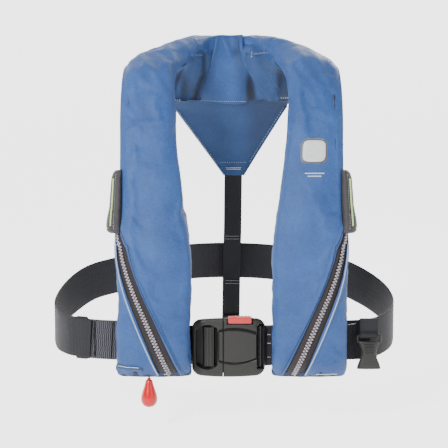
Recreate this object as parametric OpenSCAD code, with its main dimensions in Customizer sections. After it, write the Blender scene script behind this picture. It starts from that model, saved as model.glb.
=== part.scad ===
// Inflatable life jacket, uninflated, standing open as if worn.
// Millimetres. +X is the viewer's right, +Y points from the chest to the back, +Z is up.
// The origin is the point between the shoulders where the jacket rests.

/* [Lobes and collar] */
// Distance of each chest lobe's centre line from the middle
lobe_x = 95; // [92:1:98]
// Width of the lower lobe
lobe_w = 91; // [88:1:94]
// Thickness of the packed lower lobe
lobe_t = 46; // [45:0.5:48]
// Depth of the lower lobe's centre in front of the origin
lobe_y = -112; // [-113:0.5:-111]
// Height of the bottom hem
hem_z = -362; // [-364:1:-361]
// Height of the collar panel at the back of the neck
collar_h = 90; // [84:1:94]
// Thickness of the cover fabric and its lining
cover_wall = 1.5; // [1.2:0.1:1.8]
// Boxiness of the lobe's section, where 2 is an ellipse
lobe_power = 2.6; // [2.4:0.1:3]

/* [Zips] */
// Width of each zip tape
tape_w = 20; // [16:1:22]
// Width of the closed tooth chain
chain_w = 5.5; // [5:0.5:6]
// Length of the zip slider
slider_l = 15; // [12:1:18]

/* [Webbing] */
// Width of the waist belt
belt_w = 50; // [48:1:50]
// Thickness of all webbing
web_t = 2; // [1.6:0.1:2]
// Width of the back strap and crotch strap
strap_w = 25; // [20:1:25]

/* [Main buckle] */
// Height of the buckle
buckle_h = 72; // [70:1:74]
// Height of the buckle's middle
buckle_z = -331; // [-332:1:-330]
// Position of the joint between its two halves
buckle_seam = -10; // [-11:0.5:-9]
// Right end of the buckle
buckle_right = 41; // [40:0.5:42]
// Left end of the buckle
buckle_left = -48; // [-48:0.5:-46]
// Running clearance around the release button
button_gap = 0.3; // [0.2:0.05:0.4]

/* [Inflator] */
// Radius of the gas cylinder
gas_r = 13.5; // [12:0.5:13.5]
// Length of the gas cylinder
gas_l = 96; // [90:1:98]
// Largest radius of the pull toggle
toggle_r = 10; // [8:0.5:10]

/* [Hidden] */
$fn = 32;
back_y = lobe_y + lobe_t / 2;              // rear face of the lower lobes
web_y = back_y + 3;                        // plane of the belt behind the lobes
gas_x = -80;
gas_y = -114.3;
cord_x = -102;
cord_y = -108;
cord_r = 1.25;
lever_z = -322;
buckle_top = buckle_z + buckle_h / 2;
buckle_bottom = buckle_z - buckle_h / 2;
buckle_front = -98;
buckle_back = -76;
buckle_split = -87;                        // between the front and back housings
button_x0 = -4.5;
button_x1 = 25.5;
bar_x = 33;                                // webbing bar of the housing
tongue_bar_x = -30;
clip_x = 171;
clip_y = -95.4;
clip_z = -317;                             // swing axis of the crotch buckle
lime = [0.70, 0.86, 0.50];
navy = [0.31, 0.44, 0.64];
ink = [0.16, 0.16, 0.19];
plastic = [0.27, 0.27, 0.26];

// ---- stations of the left half, from the hem over the shoulder to the nape ----
// Each is centre, direction from outer to inner edge, outward direction, width, thickness.
LEFT = [
    [[-lobe_x, lobe_y + 6, hem_z],         [1, 0, 0],          [0, -1, 0],          lobe_w - 3, 24],
    [[-lobe_x, lobe_y + 3, hem_z + 10],    [1, 0, 0],          [0, -1, 0],          lobe_w - 1, lobe_t - 9],
    [[-lobe_x, lobe_y + 1, hem_z + 26],    [1, 0, 0],          [0, -1, 0],          lobe_w, lobe_t - 1.5],
    [[-lobe_x, lobe_y, -300],              [1, 0, 0],          [0, -1, 0],          lobe_w, lobe_t],
    [[-lobe_x, lobe_y, -250],              [1, 0, 0],          [0, -1, 0],          lobe_w, lobe_t],
    [[-lobe_x - 1, lobe_y + 2, -200],      [1, 0, 0],          [0, -1, 0],          lobe_w - 3, lobe_t - 2],
    [[-lobe_x - 2, -104, -145],            [1, 0, 0],          [0, -1, 0.05],       76, 42],
    [[-lobe_x - 6, -94, -90],              [1, 0, 0],          [0, -1, 0.15],       67, 39],
    [[-lobe_x - 8, -78, -40],              [1, 0, 0.05],       [0, -0.95, 0.3],     65, 37],
    [[-lobe_x - 7, -52, 2],                [1, 0, 0.15],       [-0.1, -0.75, 0.65], 66, 36],
    [[-lobe_x - 1, -18, 26],               [0.93, -0.1, 0.3],  [-0.3, -0.3, 0.9],   72, 36],
    [[-78, 20, 36],                        [0.75, -0.35, 0.55], [-0.6, 0.3, 0.75],  78, 34],
    [[-45, 52, 28],                        [0.35, -0.3, 0.88], [-0.5, 0.8, 0.45],   collar_h - 5, 30],
    [[0, 64, 20],                          [0, -0.2, 0.98],    [0, 0.98, 0.2],      collar_h, 28],
];
seam = 11;                                 // station of the shoulder seams
NAPE = concat([for (i = [seam - 1:13]) LEFT[i]], [for (i = [12:-1:seam - 1]) flipped(LEFT[i])]);

// Where each zip crosses the front of its lobe: height, then distance from the middle.
ZIP_LINE = [[-364, -74.6], [-262, -117], [-240, -125], [-219, -131], [-200, -134.5]];
ZIP_RIM = [[-200, 148], [-165, 178]];      // above that it follows the outer edge

// Routes of the webbing, as hand-chosen points of the middle line.
BACK_ROUTE = [
    [-176, -87, -323], [-190, -81, -322], [-208, -69, -321], [-224, -45, -318], [-232, -5, -310],
    [-222, 38, -293], [-196, 72, -275], [-158, 96, -266], [-100, 112, -255], [-40, 118, -249],
    [30, 118, -249], [95, 111, -255], [148, 96, -266], [184, 68, -280], [206, 30, -294],
    [213, -10, -307], [205, -45, -316], [186, -70, -322], [166, -81, -324], [150, -83, -325],
];
FRONT_LEFT_ROUTE = [
    [-76, -79.3, -328], [-110, -80.5, -326.5], [-150, -82.5, -325], [-172, -81, -324],
    [-188, -76.2, -323], [-204, -65.5, -322],
];
FRONT_RIGHT_ROUTE = [
    [174, -87.8, -323], [150, -87, -324], [110, -86, -326], [70, -85, -329], [48, -83.6, -331],
    [38, -82.6, -331], [32.5, -82.9, -331], [28.7, -87, -331], [32.5, -91.1, -331],
    [38, -91.4, -331], [46, -89.8, -331], [58, -88.2, -330],
];
END_LEFT_ROUTE = [
    [-90, -82.9, -330], [-60, -82.9, -331], [-44, -82.9, -331], [-37, -82.6, -331],
    [-30, -81.8, -331], [-25.4, -86, -331], [-30, -90.2, -331], [-37, -87, -331],
    [-44, -85.2, -331], [-62, -85.2, -331],
];
STRAP_ROUTE = [
    [4, 109.2, -118], [3.5, 110, -150], [3, 111, -200], [2, 112.6, -240], [1.5, 112.8, -262],
    [1, 111, -300], [0.5, 108, -334],
];
YOKE_ROWS = [                              // height, depth, left edge, right edge
    [-28, 74, -82, 79], [-40, 82, -70, 73], [-58, 91, -55, 60], [-76, 98, -42, 48],
    [-96, 104, -25, 35], [-124, 107, -9.5, 18],
];
CORD_ROUTE = [[cord_x, cord_y, -324], [cord_x, cord_y, -345], [cord_x, cord_y, -366.8]];
WHISTLE_CORD = [[72, -117, -282], [74, -118, -270], [80, -118, -258], [88, -117, -250]];

// ---- small functions ----
function unit(v) = v / norm(v);
function square_off(v, n) = unit(v - n * (v * n));
function flip_x(v) = [-v[0], v[1], v[2]];
function flipped(s) = [flip_x(s[0]), flip_x(s[1]), flip_x(s[2]), s[3], s[4]];
function curve(a, b, c, d, t) =
    0.5 * (2 * b + (c - a) * t + (2 * a - 5 * b + 4 * c - d) * t * t + (3 * b - a - 3 * c + d) * t * t * t);
function along(list, u) =
    let (last = len(list) - 1, i = min(floor(u), last - 1), t = u - i)
    curve(list[max(i - 1, 0)], list[i], list[i + 1], list[min(i + 2, last)], t);
function station(list, u) =
    let (
        last = len(list) - 1,
        i = min(floor(u), last - 1),
        a = list[max(i - 1, 0)],
        b = list[i],
        c = list[i + 1],
        d = list[min(i + 2, last)],
        q = [for (k = [0:4]) curve(a[k], b[k], c[k], d[k], u - i)],
        w = unit(q[1])
    )
    [q[0], w, square_off(q[2], w), q[3], q[4]];
// A point on a rounded section: angle 0 is the inner edge, 90 the outward face, 180 the outer edge.
function section_r(a) = pow(pow(abs(cos(a)), lobe_power) + pow(abs(sin(a)), lobe_power), -1 / lobe_power);
function skin(s, a, lift) =
    s[0] + s[1] * (s[3] / 2 + lift) * section_r(a) * cos(a) + s[2] * (s[4] / 2 + lift) * section_r(a) * sin(a);
function degrees_for(s, a, length) = length * 4 / norm(skin(s, a + 2, 0) - skin(s, a - 2, 0));
function zip_angle(s) =
    let (
        z = s[0][2],
        across = (lookup(z, ZIP_LINE) - s[0][0]) / (s[3] / 2),
        out = pow(1 - pow(min(abs(across), 0.97), lobe_power), 1 / lobe_power)
    )
    z < -200 ? atan2(out, across) : lookup(z, ZIP_RIM);
function steps(a, b, n) = [for (i = [0:n]) a + (b - a) * i / n];
// The closed loop of an open strip of skin, from angle a to angle b, between two lifts.
function strip(s, a, b, n, low, high) =
    concat([for (t = steps(a, b, n)) skin(s, t, high)], [for (t = steps(b, a, n)) skin(s, t, low)]);
function crown(t) = pow(1 - pow(abs(2 * t - 1), 4), 0.5);

// ---- general solids ----
// Joins equal loops of an even number of points into one closed solid.
module loft(loops) {
    m = len(loops[0]);
    n = len(loops);
    sides = [for (j = [0:n - 2], k = [0:m - 1])
        let (a = j * m + k, b = j * m + (k + 1) % m)
        each [[a, b, b + m], [a, b + m, a + m]]];
    start = [for (k = [0:m / 2 - 2])
        each [[k + 1, k, m - 1 - k], [k + 1, m - 1 - k, m - 2 - k]]];
    end = [for (k = [0:m / 2 - 2])
        let (e = (n - 1) * m)
        each [[e + k, e + k + 1, e + m - 2 - k], [e + k, e + m - 2 - k, e + m - 1 - k]]];
    polyhedron(points = [for (loop = loops) each loop], faces = concat(sides, start, end), convexity = 6);
}

// Webbing along a route, its width held near the direction up.
module webbing(route, width, thick, up = [0, 0, 1], n = 3) {
    last = len(route) - 1;
    rings = [for (u = [0:1 / n:last]) let (
            here = along(route, u),
            dir = unit(along(route, min(u + 0.1, last)) - along(route, max(u - 0.1, 0))),
            w = square_off(up, dir) * width / 2,
            t = unit(cross(w, dir)) * thick / 2
        ) [here - w + t, here + w + t, here + w - t, here - w - t]];
    loft([for (r = rings) [r[3], r[2], r[1], r[0]]]);
}

module rope(route, r, sides = 8, n = 3) {
    last = len(route) - 1;
    loft([for (u = [0:1 / n:last]) let (
            dir = unit(along(route, min(u + 0.1, last)) - along(route, max(u - 0.1, 0))),
            w = square_off(abs(dir[1]) > 0.9 ? [1, 0, 0] : [0, 1, 0], dir),
            t = cross(w, dir)
        ) [for (i = [0:sides - 1]) along(route, u) + w * r * cos(360 * i / sides) + t * r * sin(360 * i / sides)]]);
}

// A plate with rounded corners, lying in the XZ plane between two depths.
module plate(x0, x1, z0, z1, y0, y1, r) {
    translate([x0 + r, y0, z0]) cube([x1 - x0 - 2 * r, y1 - y0, z1 - z0]);
    translate([x0, y0, z0 + r]) cube([x1 - x0, y1 - y0, z1 - z0 - 2 * r]);
    for (x = [x0 + r, x1 - r], z = [z0 + r, z1 - r])
        translate([x, y0, z]) rotate([-90, 0, 0]) cylinder(r = r, h = y1 - y0);
}

module block(x0, x1, y0, y1, z0, z1) {
    translate([x0, y0, z0]) cube([x1 - x0, y1 - y0, z1 - z0]);
}

module post(x, y, z0, z1, r) {
    translate([x, y, z0]) cylinder(r = r, h = z1 - z0);
}

module right_side() {
    mirror([1, 0, 0]) children();
}

// ---- covers ----
module cover_half() {
    gap = 2;
    loft([for (u = [0:1 / 3:seam]) let (s = station(LEFT, u), a = zip_angle(s), g = degrees_for(s, a, gap))
        strip(s, a + g, a + 360 - g, 18, -cover_wall, 0)]);
}
module cover_left() color(navy) cover_half();
module cover_right() color(navy) right_side() cover_half();
module cover_collar() color(navy)
    loft([for (u = [1:1 / 3:5]) let (s = station(NAPE, u))
        strip(s, 178 + 3, 178 + 357, 18, -cover_wall, 0)]);

module hem(hole) {
    s = LEFT[0];
    translate([s[0][0], s[0][1], hem_z - 2.2]) linear_extrude(2) difference() {
        polygon([for (i = [0:35]) [
            s[3] / 2 * section_r(i * 10) * cos(i * 10),
            s[4] / 2 * section_r(i * 10) * sin(i * 10)
        ]]);
        if (hole)
            translate([cord_x - s[0][0], cord_y - s[0][1]]) circle(r = 2.5);
    }
}
module hem_left() color(ink) hem(true);
module hem_right() color(ink) right_side() hem(false);

// ---- inside of the collar ----
module flap(u0, u1, a0, a1, lift) {
    loft([for (t = steps(0, 1, 6)) let (s = station(NAPE, u0 + (u1 - u0) * t))
        strip(s, a0, a1, 8, lift, lift + 2.5)]);
}
module collar_flap_left() color(navy * 0.8) flap(1.3, 2.12, 205, 335, 0.8);
module collar_flap_center() color(navy) flap(2.2, 3.55, 200, 340, 0.8);
module collar_flap_right() color(navy * 0.7) flap(3.63, 4.7, 205, 335, 0.8);

module yoke_panel() color(navy * 0.85)
    loft([for (r = YOKE_ROWS) let (y0 = r[1] - 0.8, y1 = r[1] + 0.8)
        [[r[2], y0, r[0]], [r[3], y0, r[0]], [r[3], y1, r[0]], [r[2], y1, r[0]]]]);

// ---- bladder, folded flat inside the covers ----
bladder_gap = 1.6;                         // between the bladder and the cover behind it
function bladder_loop(s, thick, margin) =
    let (c = s[0] + s[2] * (thick / 2 + cover_wall + bladder_gap - s[4] / 2), w = s[3] / 2 - cover_wall - margin)
    [for (i = [0:13]) let (a = i * 360 / 14)
        c + s[1] * w * section_r(a) * cos(a) + s[2] * thick / 2 * section_r(a) * sin(a)];
function bladder_thick(u) = lookup(u, [[0, 7.2], [5.9, 7.2], [7.2, 18.5], [11, 17]]);
function bladder_margin(u) = lookup(u, [[0, 16.5], [5.9, 16.5], [7.2, 9]]);
module bladder_half()
    loft([for (u = steps(0.8, seam - 0.1, 24)) bladder_loop(station(LEFT, u), bladder_thick(u), bladder_margin(u))]);
module bladder_left() color("yellow") bladder_half();
module bladder_right() color("yellow") right_side() bladder_half();
module bladder_collar() color("yellow")
    loft([for (u = steps(1.1, 4.9, 16)) bladder_loop(station(NAPE, u), 12, 9.5)]);

// ---- zips ----
module zip_strip(u0, u1, n, width, low, high, across) {
    loft([for (u = steps(u0, u1, n)) let (s = station(LEFT, u), a = zip_angle(s), d = degrees_for(s, a, width / 2))
        strip(s, a - d, a + d, across, low, high)]);
}
module tape() color(ink) zip_strip(0.25, seam, 32, tape_w, 0.3, 1.2, 6);
module chain() color("silver") zip_strip(0.3, seam, 32, chain_w, 1.3, 2.6, 1);
module zip_tape_left() tape();
module zip_tape_right() right_side() tape();
module zip_teeth_left() chain();
module zip_teeth_right() right_side() chain();

// Each slider is parked under its edge tab and starts down the zip from there.
park_u = 5.52;                             // place along the lobe, in stations
out_u = 5.2;
slider_lift = 3.6;
function zip_point(u, lift) = let (s = station(LEFT, u)) skin(s, zip_angle(s), lift);
park = zip_point(park_u, slider_lift);
run = zip_point(out_u, slider_lift) - park;
run_dir = unit(run);
run_out = square_off(zip_point(park_u, 9) - park + zip_point(out_u, 9) - zip_point(out_u, slider_lift), run_dir);
run_side = cross(run_out, run_dir);
echo(park = park, direction = run_dir, travel = norm(run));
module at_slider() {
    multmatrix([for (k = [0:2]) [run_side[k], -run_out[k], -run_dir[k], park[k]]]) children();
}
module slider_body() color("dimgray") at_slider() {
    block(-5, 5, -2, 0, -slider_l / 2, slider_l / 2);
    for (x = [-5, 4])
        block(x, x + 1, -0.1, 0.6, -slider_l / 2, slider_l / 2);
    // low bridge for a cord loop
    difference() {
        block(-1.2, 1.2, -3.5, -1.9, -3.5, 3.5);
        translate([-2, -2.6, 0]) rotate([0, 90, 0]) cylinder(r = 0.6, h = 4);
    }
}
module zip_slider_left() slider_body();
module zip_slider_right() right_side() slider_body();

// ---- padded tabs that cover the upper zip ----
tab_from = 5.25;
tab_to = 6.6;
tab_high = 1.2;                            // wall over the slider
tab_crown = 3.8;                           // extra padding at mid-length
function tab_lift(q) = 1.6 + 9.2 * pow(sin(180 * q), 0.5);
// The tab's front edge swings forward at its lower end, where the zip does too.
function tab_front(t) = 148 - 11 * pow(1 - t, 2);
function tab_angle(q, t) = tab_front(t) + (232 - tab_front(t)) * q;
function tab_loop(s, t, n) = concat(
    [for (q = steps(0, 1, n)) skin(s, tab_angle(q, t), tab_lift(q) + tab_high + tab_crown * crown(t))],
    [for (q = steps(1, 0, n)) skin(s, tab_angle(q, t), tab_lift(q))]
);
module tab() color([0.30, 0.29, 0.30])
    loft([for (t = steps(0.02, 0.98, 12)) tab_loop(station(LEFT, tab_from + (tab_to - tab_from) * t), t, 10)]);
module tab_piping() color(lime)
    rope([for (t = steps(0.12, 0.86, 5)) let (s = station(LEFT, tab_from + (tab_to - tab_from) * t))
        skin(s, tab_angle(0.2, t), tab_lift(0.2) + tab_high + tab_crown * crown(t) + 1.2)], 1, 6, 2);
module edge_tab_left() tab();
module edge_tab_right() right_side() tab();
module tab_piping_left() tab_piping();
module tab_piping_right() right_side() tab_piping();

// ---- webbing ----
module back_strap() color(ink) webbing(STRAP_ROUTE, strap_w, web_t, [1, 0, 0]);
module belt_back() color(ink) webbing(BACK_ROUTE, belt_w, web_t);
module belt_front_left() color(ink) webbing(FRONT_LEFT_ROUTE, belt_w, web_t);
module belt_front_right() color(ink) webbing(FRONT_RIGHT_ROUTE, belt_w, web_t);
module belt_end_left() color(ink) webbing(END_LEFT_ROUTE, belt_w - 1, web_t);

// Sliding adjuster between the two layers at the left of the belt.
module belt_adjuster() color(plastic)
    translate([-188, -79.1, -322.5]) rotate([0, 0, -24]) difference() {
        plate(-9, 9, -27, 27, -0.8, 0.8, 3);
        for (x = [-6.5, 1.5])
            plate(x, x + 5, -24, 24, -2, 2, 1);
    }
// Stitched elastic loop that holds the belt's free end down.
module belt_keeper() color([0.2, 0.2, 0.22])
    translate([-120, -81, -326.2]) rotate([0, 0, 3]) difference() {
        block(-6, 6, -2.6, 2.6, -28, 28);
        block(-7, 7, -1.5, 1.5, -26.5, 26.5);
    }
// Patch that ties the back strap to the back belt.
module belt_tunnel() color(ink)
    webbing([[2, 114.9, -276], [2, 115.2, -262], [2, 115.2, -238], [2, 114.9, -222]], strap_w - 3, 1, [1, 0, 0], 1);

// ---- main buckle: housing half ----
slot_z0 = buckle_z - 24;
slot_z1 = buckle_z + 22;
module housing_cuts() {
    // room for the latch and the tongue
    block(buckle_seam + 4, 25.9, -93.7, -80, buckle_bottom + 6, buckle_top - 8);
    // mouth for the tongue
    block(buckle_seam - 1, buckle_seam + 5, -89.4, -84.4, slot_z0, slot_z1);
    // shaft of the release button, open at the top
    block(button_x0 - button_gap, button_x1 + button_gap, -93.7, -80, buckle_top - 12, buckle_top + 5);
    block(button_x0 - button_gap, button_x1 + button_gap, buckle_front - 3, -93.6, buckle_top - 9, buckle_top + 5);
    // pocket for the webbing, open to the right
    block(28 - 1, buckle_right + 1, -94.3, -79.7, buckle_bottom + 8, buckle_top - 8);
}
module buckle_housing_front() color(plastic) difference() {
    union() {
        plate(buckle_seam, buckle_right, buckle_bottom, buckle_top, buckle_front, buckle_split, 6);
        // raised thumb pad
        translate([12, buckle_front + 0.5, buckle_z]) rotate([90, 0, 0]) cylinder(r = 17, h = 2.3, $fn = 64);
    }
    housing_cuts();
    plate(33, 39.5, buckle_z - 28, buckle_z + 26, buckle_front - 3, -93, 2);
    post(bar_x, buckle_split, buckle_bottom + 4, buckle_top - 4, 2.05);
    for (i = [0:3])
        translate([12, buckle_front - 2.6, buckle_z]) rotate([90, 0, 0]) difference() {
            cylinder(r = 6 + 3 * i, h = 2, center = true, $fn = 64);
            cylinder(r = 4.8 + 3 * i, h = 3, center = true, $fn = 64);
        }
}
module buckle_housing_back() color(plastic) difference() {
    plate(buckle_seam, buckle_right, buckle_bottom, buckle_top, buckle_split, buckle_back, 6);
    housing_cuts();
    post(bar_x, buckle_split, buckle_bottom + 4, buckle_top - 4, 2.05);
}
module buckle_web_bar() color("silver") post(bar_x, buckle_split, buckle_bottom + 4.2, buckle_top - 4.2, 2);
latch_z = buckle_z - 9;
module release_button() color([0.89, 0.41, 0.41]) {
    block(button_x0, button_x1, -93.4, -80.3, buckle_top - 12.5, buckle_top + 1.5);
    for (x = [-1:4:23])
        block(x, x + 1.6, -93.4, -80.3, buckle_top + 1.4, buckle_top + 2);
}
module latch_plate() color("silver") difference() {
    plate(0, 21, latch_z, buckle_top - 12.6, -92.6, -90.4, 2);
    plate(4, 16, latch_z + 8, buckle_top - 22, -93, -90, 2);
}
module button_spring() color("silver")
    rope([for (i = [0:1:48]) [
        10.5 + 3 * cos(i * 45), -91.5 + 1.6 * sin(i * 45) * 0.4, buckle_bottom + 7 + (latch_z - buckle_bottom - 7.6) * i / 48
    ]], 0.45, 6, 1);

// ---- main buckle: tongue half, which slides out to the left ----
module tongue_body() color(plastic) difference() {
    translate([0, 0, buckle_bottom + 0.5]) linear_extrude(buckle_h - 1)
        polygon([
            [buckle_left, -88.4], [-40, -91.8], [-26, -97], [-20, buckle_front],
            [buckle_seam - 0.4, buckle_front], [buckle_seam - 0.4, buckle_back], [-40, -79], [buckle_left, -80.2]
        ]);
    block(-43, -17, -99, -75, buckle_z - 27, buckle_z + 27);
    block(buckle_left - 1, -42, -87, -81.4, buckle_z - 26, buckle_z + 26);
    post(tongue_bar_x, -86, buckle_bottom + 4, buckle_top - 4, 2.65);
    block(buckle_seam - 5, buckle_seam + 1, -88.5, -85.5, slot_z0 + 2, slot_z1 - 2);
}
module tongue_bar() color(plastic) {
    post(tongue_bar_x, -86, buckle_bottom + 4.2, buckle_top - 4.2, 2.6);
}
module tongue_plate() color("silver") difference() {
    plate(buckle_seam - 4.9, 19, slot_z0 + 3, slot_z1 - 3, -88.4, -85.6, 3);
    plate(2, 13, buckle_z - 12, buckle_z + 10, -89, -85, 2);
}

// ---- crotch buckle on its webbing loop, at the right ----
module crotch_loop() color(ink)
    webbing([[clip_x, -91.2, -296], [clip_x, -91.5, -306], [clip_x, -92.2, -313], [clip_x, -92.6, -318],
        [clip_x, -95.4, -320], [clip_x, -98.2, -317.5], [clip_x, -97, -314.4], [clip_x, -94.2, -311.5],
        [clip_x, -93.2, -306], [clip_x, -93, -296]],
        strap_w - 2, 1.4, [1, 0, 0]);
module crotch_buckle() color(plastic) {
    translate([clip_x - 15, clip_y, clip_z]) rotate([0, 90, 0]) cylinder(r = 1.9, h = 30);
    difference() {
        union() {
            plate(clip_x - 15, clip_x + 15, clip_z - 14, clip_z + 1.5, -98.6, -92.2, 2);
            plate(clip_x - 13, clip_x + 13, clip_z - 32, clip_z - 8, -101.4, -92.2, 4);
            plate(clip_x - 15, clip_x + 15, clip_z - 42, clip_z - 28, -102, -92, 4);
        }
        // window that the webbing passes through, under the bar
        block(clip_x - 12.5, clip_x + 12.5, -104, -90.5, clip_z - 6.5, clip_z + 4);
        // mouth and side openings of the socket
        block(clip_x - 10.5, clip_x + 10.5, -99.3, -94.6, clip_z - 43, clip_z - 12);
        block(clip_x - 16, clip_x + 16, -99.3, -94.6, clip_z - 28, clip_z - 18);
    }
}

// ---- crotch strap, stowed folded at the foot of the back strap ----
module crotch_strap() color(ink)
    webbing([[0.5, 105.6, -326], [0.5, 104.8, -340], [0.5, 103, -352]], strap_w, web_t, [1, 0, 0]);
module crotch_bundle() color(ink)
    webbing([[0, 100.4, -346], [0, 99.4, -376], [0, 96.8, -378], [0, 95.2, -375], [0, 95.6, -348], [0, 93.2, -346],
        [0, 91.4, -349], [0, 91, -378]], strap_w, web_t, [1, 0, 0]);
module crotch_keeper() color([0.2, 0.2, 0.22]) difference() {
    block(-14, 14, 88.3, 103.2, -368, -356);
    block(-13, 13, 89.5, 102, -369, -355);
}
module crotch_clip() color(plastic) {
    plate(-12, 12, -387.5, -380.5, 92, 98, 2);
    block(-3, 3, 93, 97, -401, -387);
    for (x = [-11, 7.5])
        plate(x, x + 3.5, -400, -386, 93, 97, 1.5);
}

// ---- gas inflator in the left lobe ----
module inflator_body() color("dimgray") difference() {
    union() {
        block(gas_x - 13, gas_x + 13, -127, -103.3, lever_z - 8, -288);
        post(gas_x, gas_y, -289, -284, 9);
    }
    post(gas_x, gas_y, -296, -283, 5.05);
    // bore of the lever pin
    translate([gas_x - 30, -118, lever_z]) rotate([0, 90, 0]) cylinder(r = 2.05, h = 25);
}
module co2_cylinder() color("silver") translate([gas_x, gas_y, -295]) rotate_extrude() polygon([
    [0, 0], [5, 0], [5, 12], [8, 14], [gas_r - 1.5, 20], [gas_r, 26], [gas_r, gas_l + 2], [gas_r - 3, gas_l + 10],
    [gas_r - 8, gas_l + 13], [0, gas_l + 14]
]);
module retaining_clip() color("dimgray") difference() {
    post(gas_x, gas_y, -212, -202, gas_r + 1.4);
    post(gas_x, gas_y, -213, -201, gas_r + 0.05);
}
module manifold_flange() color("black")
    translate([gas_x, -101, -305]) rotate([90, 0, 0]) cylinder(r = 17, h = 2);
module auto_cap() color("goldenrod") {
    post(gas_x, gas_y + 2, lever_z - 20, lever_z - 8.2, 12);
    post(gas_x, gas_y + 2, lever_z - 22, lever_z - 20, 8);
}
module inflator_lever() color("firebrick") difference() {
    union() {
        translate([gas_x - 19.5, -118, lever_z]) rotate([0, 90, 0]) cylinder(r = 4.5, h = 3);
        block(gas_x - 19.5, gas_x - 16.5, -118, -106, lever_z - 2.5, lever_z + 2.5);
    }
    translate([gas_x - 21, -118, lever_z]) rotate([0, 90, 0]) cylinder(r = 2.05, h = 6);
}
module lever_pin() color("silver") {
    translate([gas_x - 20.5, -118, lever_z]) rotate([0, 90, 0]) cylinder(r = 2, h = 14.5);
    translate([gas_x - 21.3, -118, lever_z]) rotate([0, 90, 0]) cylinder(r = 3.2, h = 1);
}
module pull_cord() color("gainsboro") rope(CORD_ROUTE, cord_r, 8, 2);
module pull_toggle() color([0.84, 0.24, 0.27]) {
    translate([cord_x, cord_y, -404]) rotate_extrude(angle = 360) polygon(concat(
        [[0, 0]],
        [for (a = [-75:15:15]) [toggle_r * cos(a), 9.5 + 9.5 * sin(a)]],
        [[8, 19], [5.6, 26], [4.2, 31], [3.6, 34], [0, 34.1]]
    ));
    // round eye that the cord's loop swings on
    translate([cord_x, cord_y + 2, -369.4]) rotate([90, 0, 0]) cylinder(r = 2.2, h = 4);
}

// ---- oral tube, whistle and lifting becket in the right lobe ----
module oral_tube() color("black") difference() {
    union() {
        post(95, -116, -242, -166, 5.5);
        post(95, -116, -246, -241, 11);
    }
    post(95, -116, -238, -165, 3.5);
}
module oral_cap() color("red") difference() {
    post(95, -116, -178, -158, 7.5);
    post(95, -116, -179, -162, 5.56);
}
module whistle() color("orange") difference() {
    union() {
        post(72, -117, -320, -290, 6);
        block(66, 78, -121, -113, -296, -284);
    }
    post(72, -117, -318, -291, 4.5);
    block(71, 81, -119, -115, -294, -291.2);
}
module whistle_lanyard() color("white") rope(WHISTLE_CORD, 1, 6, 2);
module lifting_loop() color("orange")
    webbing([[112, -105, -335], [112, -112, -345], [112, -119, -335], [112, -120, -290], [112, -114, -280],
        [112, -108, -290], [112, -106.6, -325]], 20, web_t, [1, 0, 0]);

// ---- trim ----
module badge_patch() color("whitesmoke") right_side()
    loft([for (t = steps(-0.26, 0.26, 4)) let (s = station(LEFT, 7 + t)) strip(s, 62, 116, 6, 0.4, 1.2)]);

cover_left();
cover_right();
cover_collar();
hem_left();
hem_right();
collar_flap_left();
collar_flap_center();
collar_flap_right();
yoke_panel();
bladder_left();
bladder_right();
bladder_collar();
zip_tape_left();
zip_tape_right();
zip_teeth_left();
zip_teeth_right();
zip_slider_left();
zip_slider_right();
edge_tab_left();
edge_tab_right();
tab_piping_left();
tab_piping_right();
back_strap();
belt_back();
belt_front_left();
belt_front_right();
belt_end_left();
belt_adjuster();
belt_keeper();
belt_tunnel();
buckle_housing_front();
buckle_housing_back();
buckle_web_bar();
release_button();
latch_plate();
button_spring();
tongue_body();
tongue_bar();
tongue_plate();
crotch_loop();
crotch_buckle();
crotch_strap();
crotch_bundle();
crotch_keeper();
crotch_clip();
inflator_body();
co2_cylinder();
retaining_clip();
manifold_flange();
auto_cap();
inflator_lever();
lever_pin();
pull_cord();
pull_toggle();
oral_tube();
oral_cap();
whistle();
whistle_lanyard();
lifting_loop();
badge_patch();
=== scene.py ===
"""Studio model of an inflatable life jacket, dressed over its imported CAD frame.

Lengths are in metres in Blender; routes and stations are written in millimetres and scaled by MM.
"""

import math

import bpy
import numpy as np
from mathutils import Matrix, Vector, noise
from mathutils.bvhtree import BVHTree


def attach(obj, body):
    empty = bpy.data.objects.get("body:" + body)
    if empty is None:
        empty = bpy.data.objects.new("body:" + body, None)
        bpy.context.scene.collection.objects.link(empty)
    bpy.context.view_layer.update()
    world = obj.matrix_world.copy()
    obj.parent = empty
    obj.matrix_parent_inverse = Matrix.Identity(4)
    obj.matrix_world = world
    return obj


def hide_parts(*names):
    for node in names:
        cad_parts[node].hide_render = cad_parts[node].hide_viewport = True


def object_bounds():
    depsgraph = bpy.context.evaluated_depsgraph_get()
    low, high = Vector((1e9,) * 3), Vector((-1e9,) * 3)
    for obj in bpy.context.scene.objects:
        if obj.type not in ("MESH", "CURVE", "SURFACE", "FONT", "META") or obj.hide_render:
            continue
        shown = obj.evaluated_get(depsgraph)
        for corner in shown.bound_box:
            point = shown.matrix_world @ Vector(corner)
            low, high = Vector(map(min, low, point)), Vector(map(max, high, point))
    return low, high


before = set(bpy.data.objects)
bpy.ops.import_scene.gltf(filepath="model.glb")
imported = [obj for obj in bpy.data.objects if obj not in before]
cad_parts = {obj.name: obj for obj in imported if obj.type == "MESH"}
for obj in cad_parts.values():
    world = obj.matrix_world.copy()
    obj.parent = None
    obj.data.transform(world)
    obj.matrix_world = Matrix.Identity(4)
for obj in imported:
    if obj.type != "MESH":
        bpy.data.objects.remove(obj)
cad_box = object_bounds()
MM = 0.001
JACKET = "jacket"
TAU = 2 * math.pi
FRONT = (0, -1.0, 0)  # towards the viewer
ACROSS = (1, 0, 0)



def set_all(target, **values):
    for key, value in values.items():
        setattr(target, key, value)
    return target


def set_inputs(node, **values):
    """Sets a node's inputs; an underscore in a name here stands for a space."""
    for key, value in values.items():
        node.inputs[key.replace("_", " ")].default_value = value


# ------------------------------------------------------------------ camera, light and stage

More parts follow.
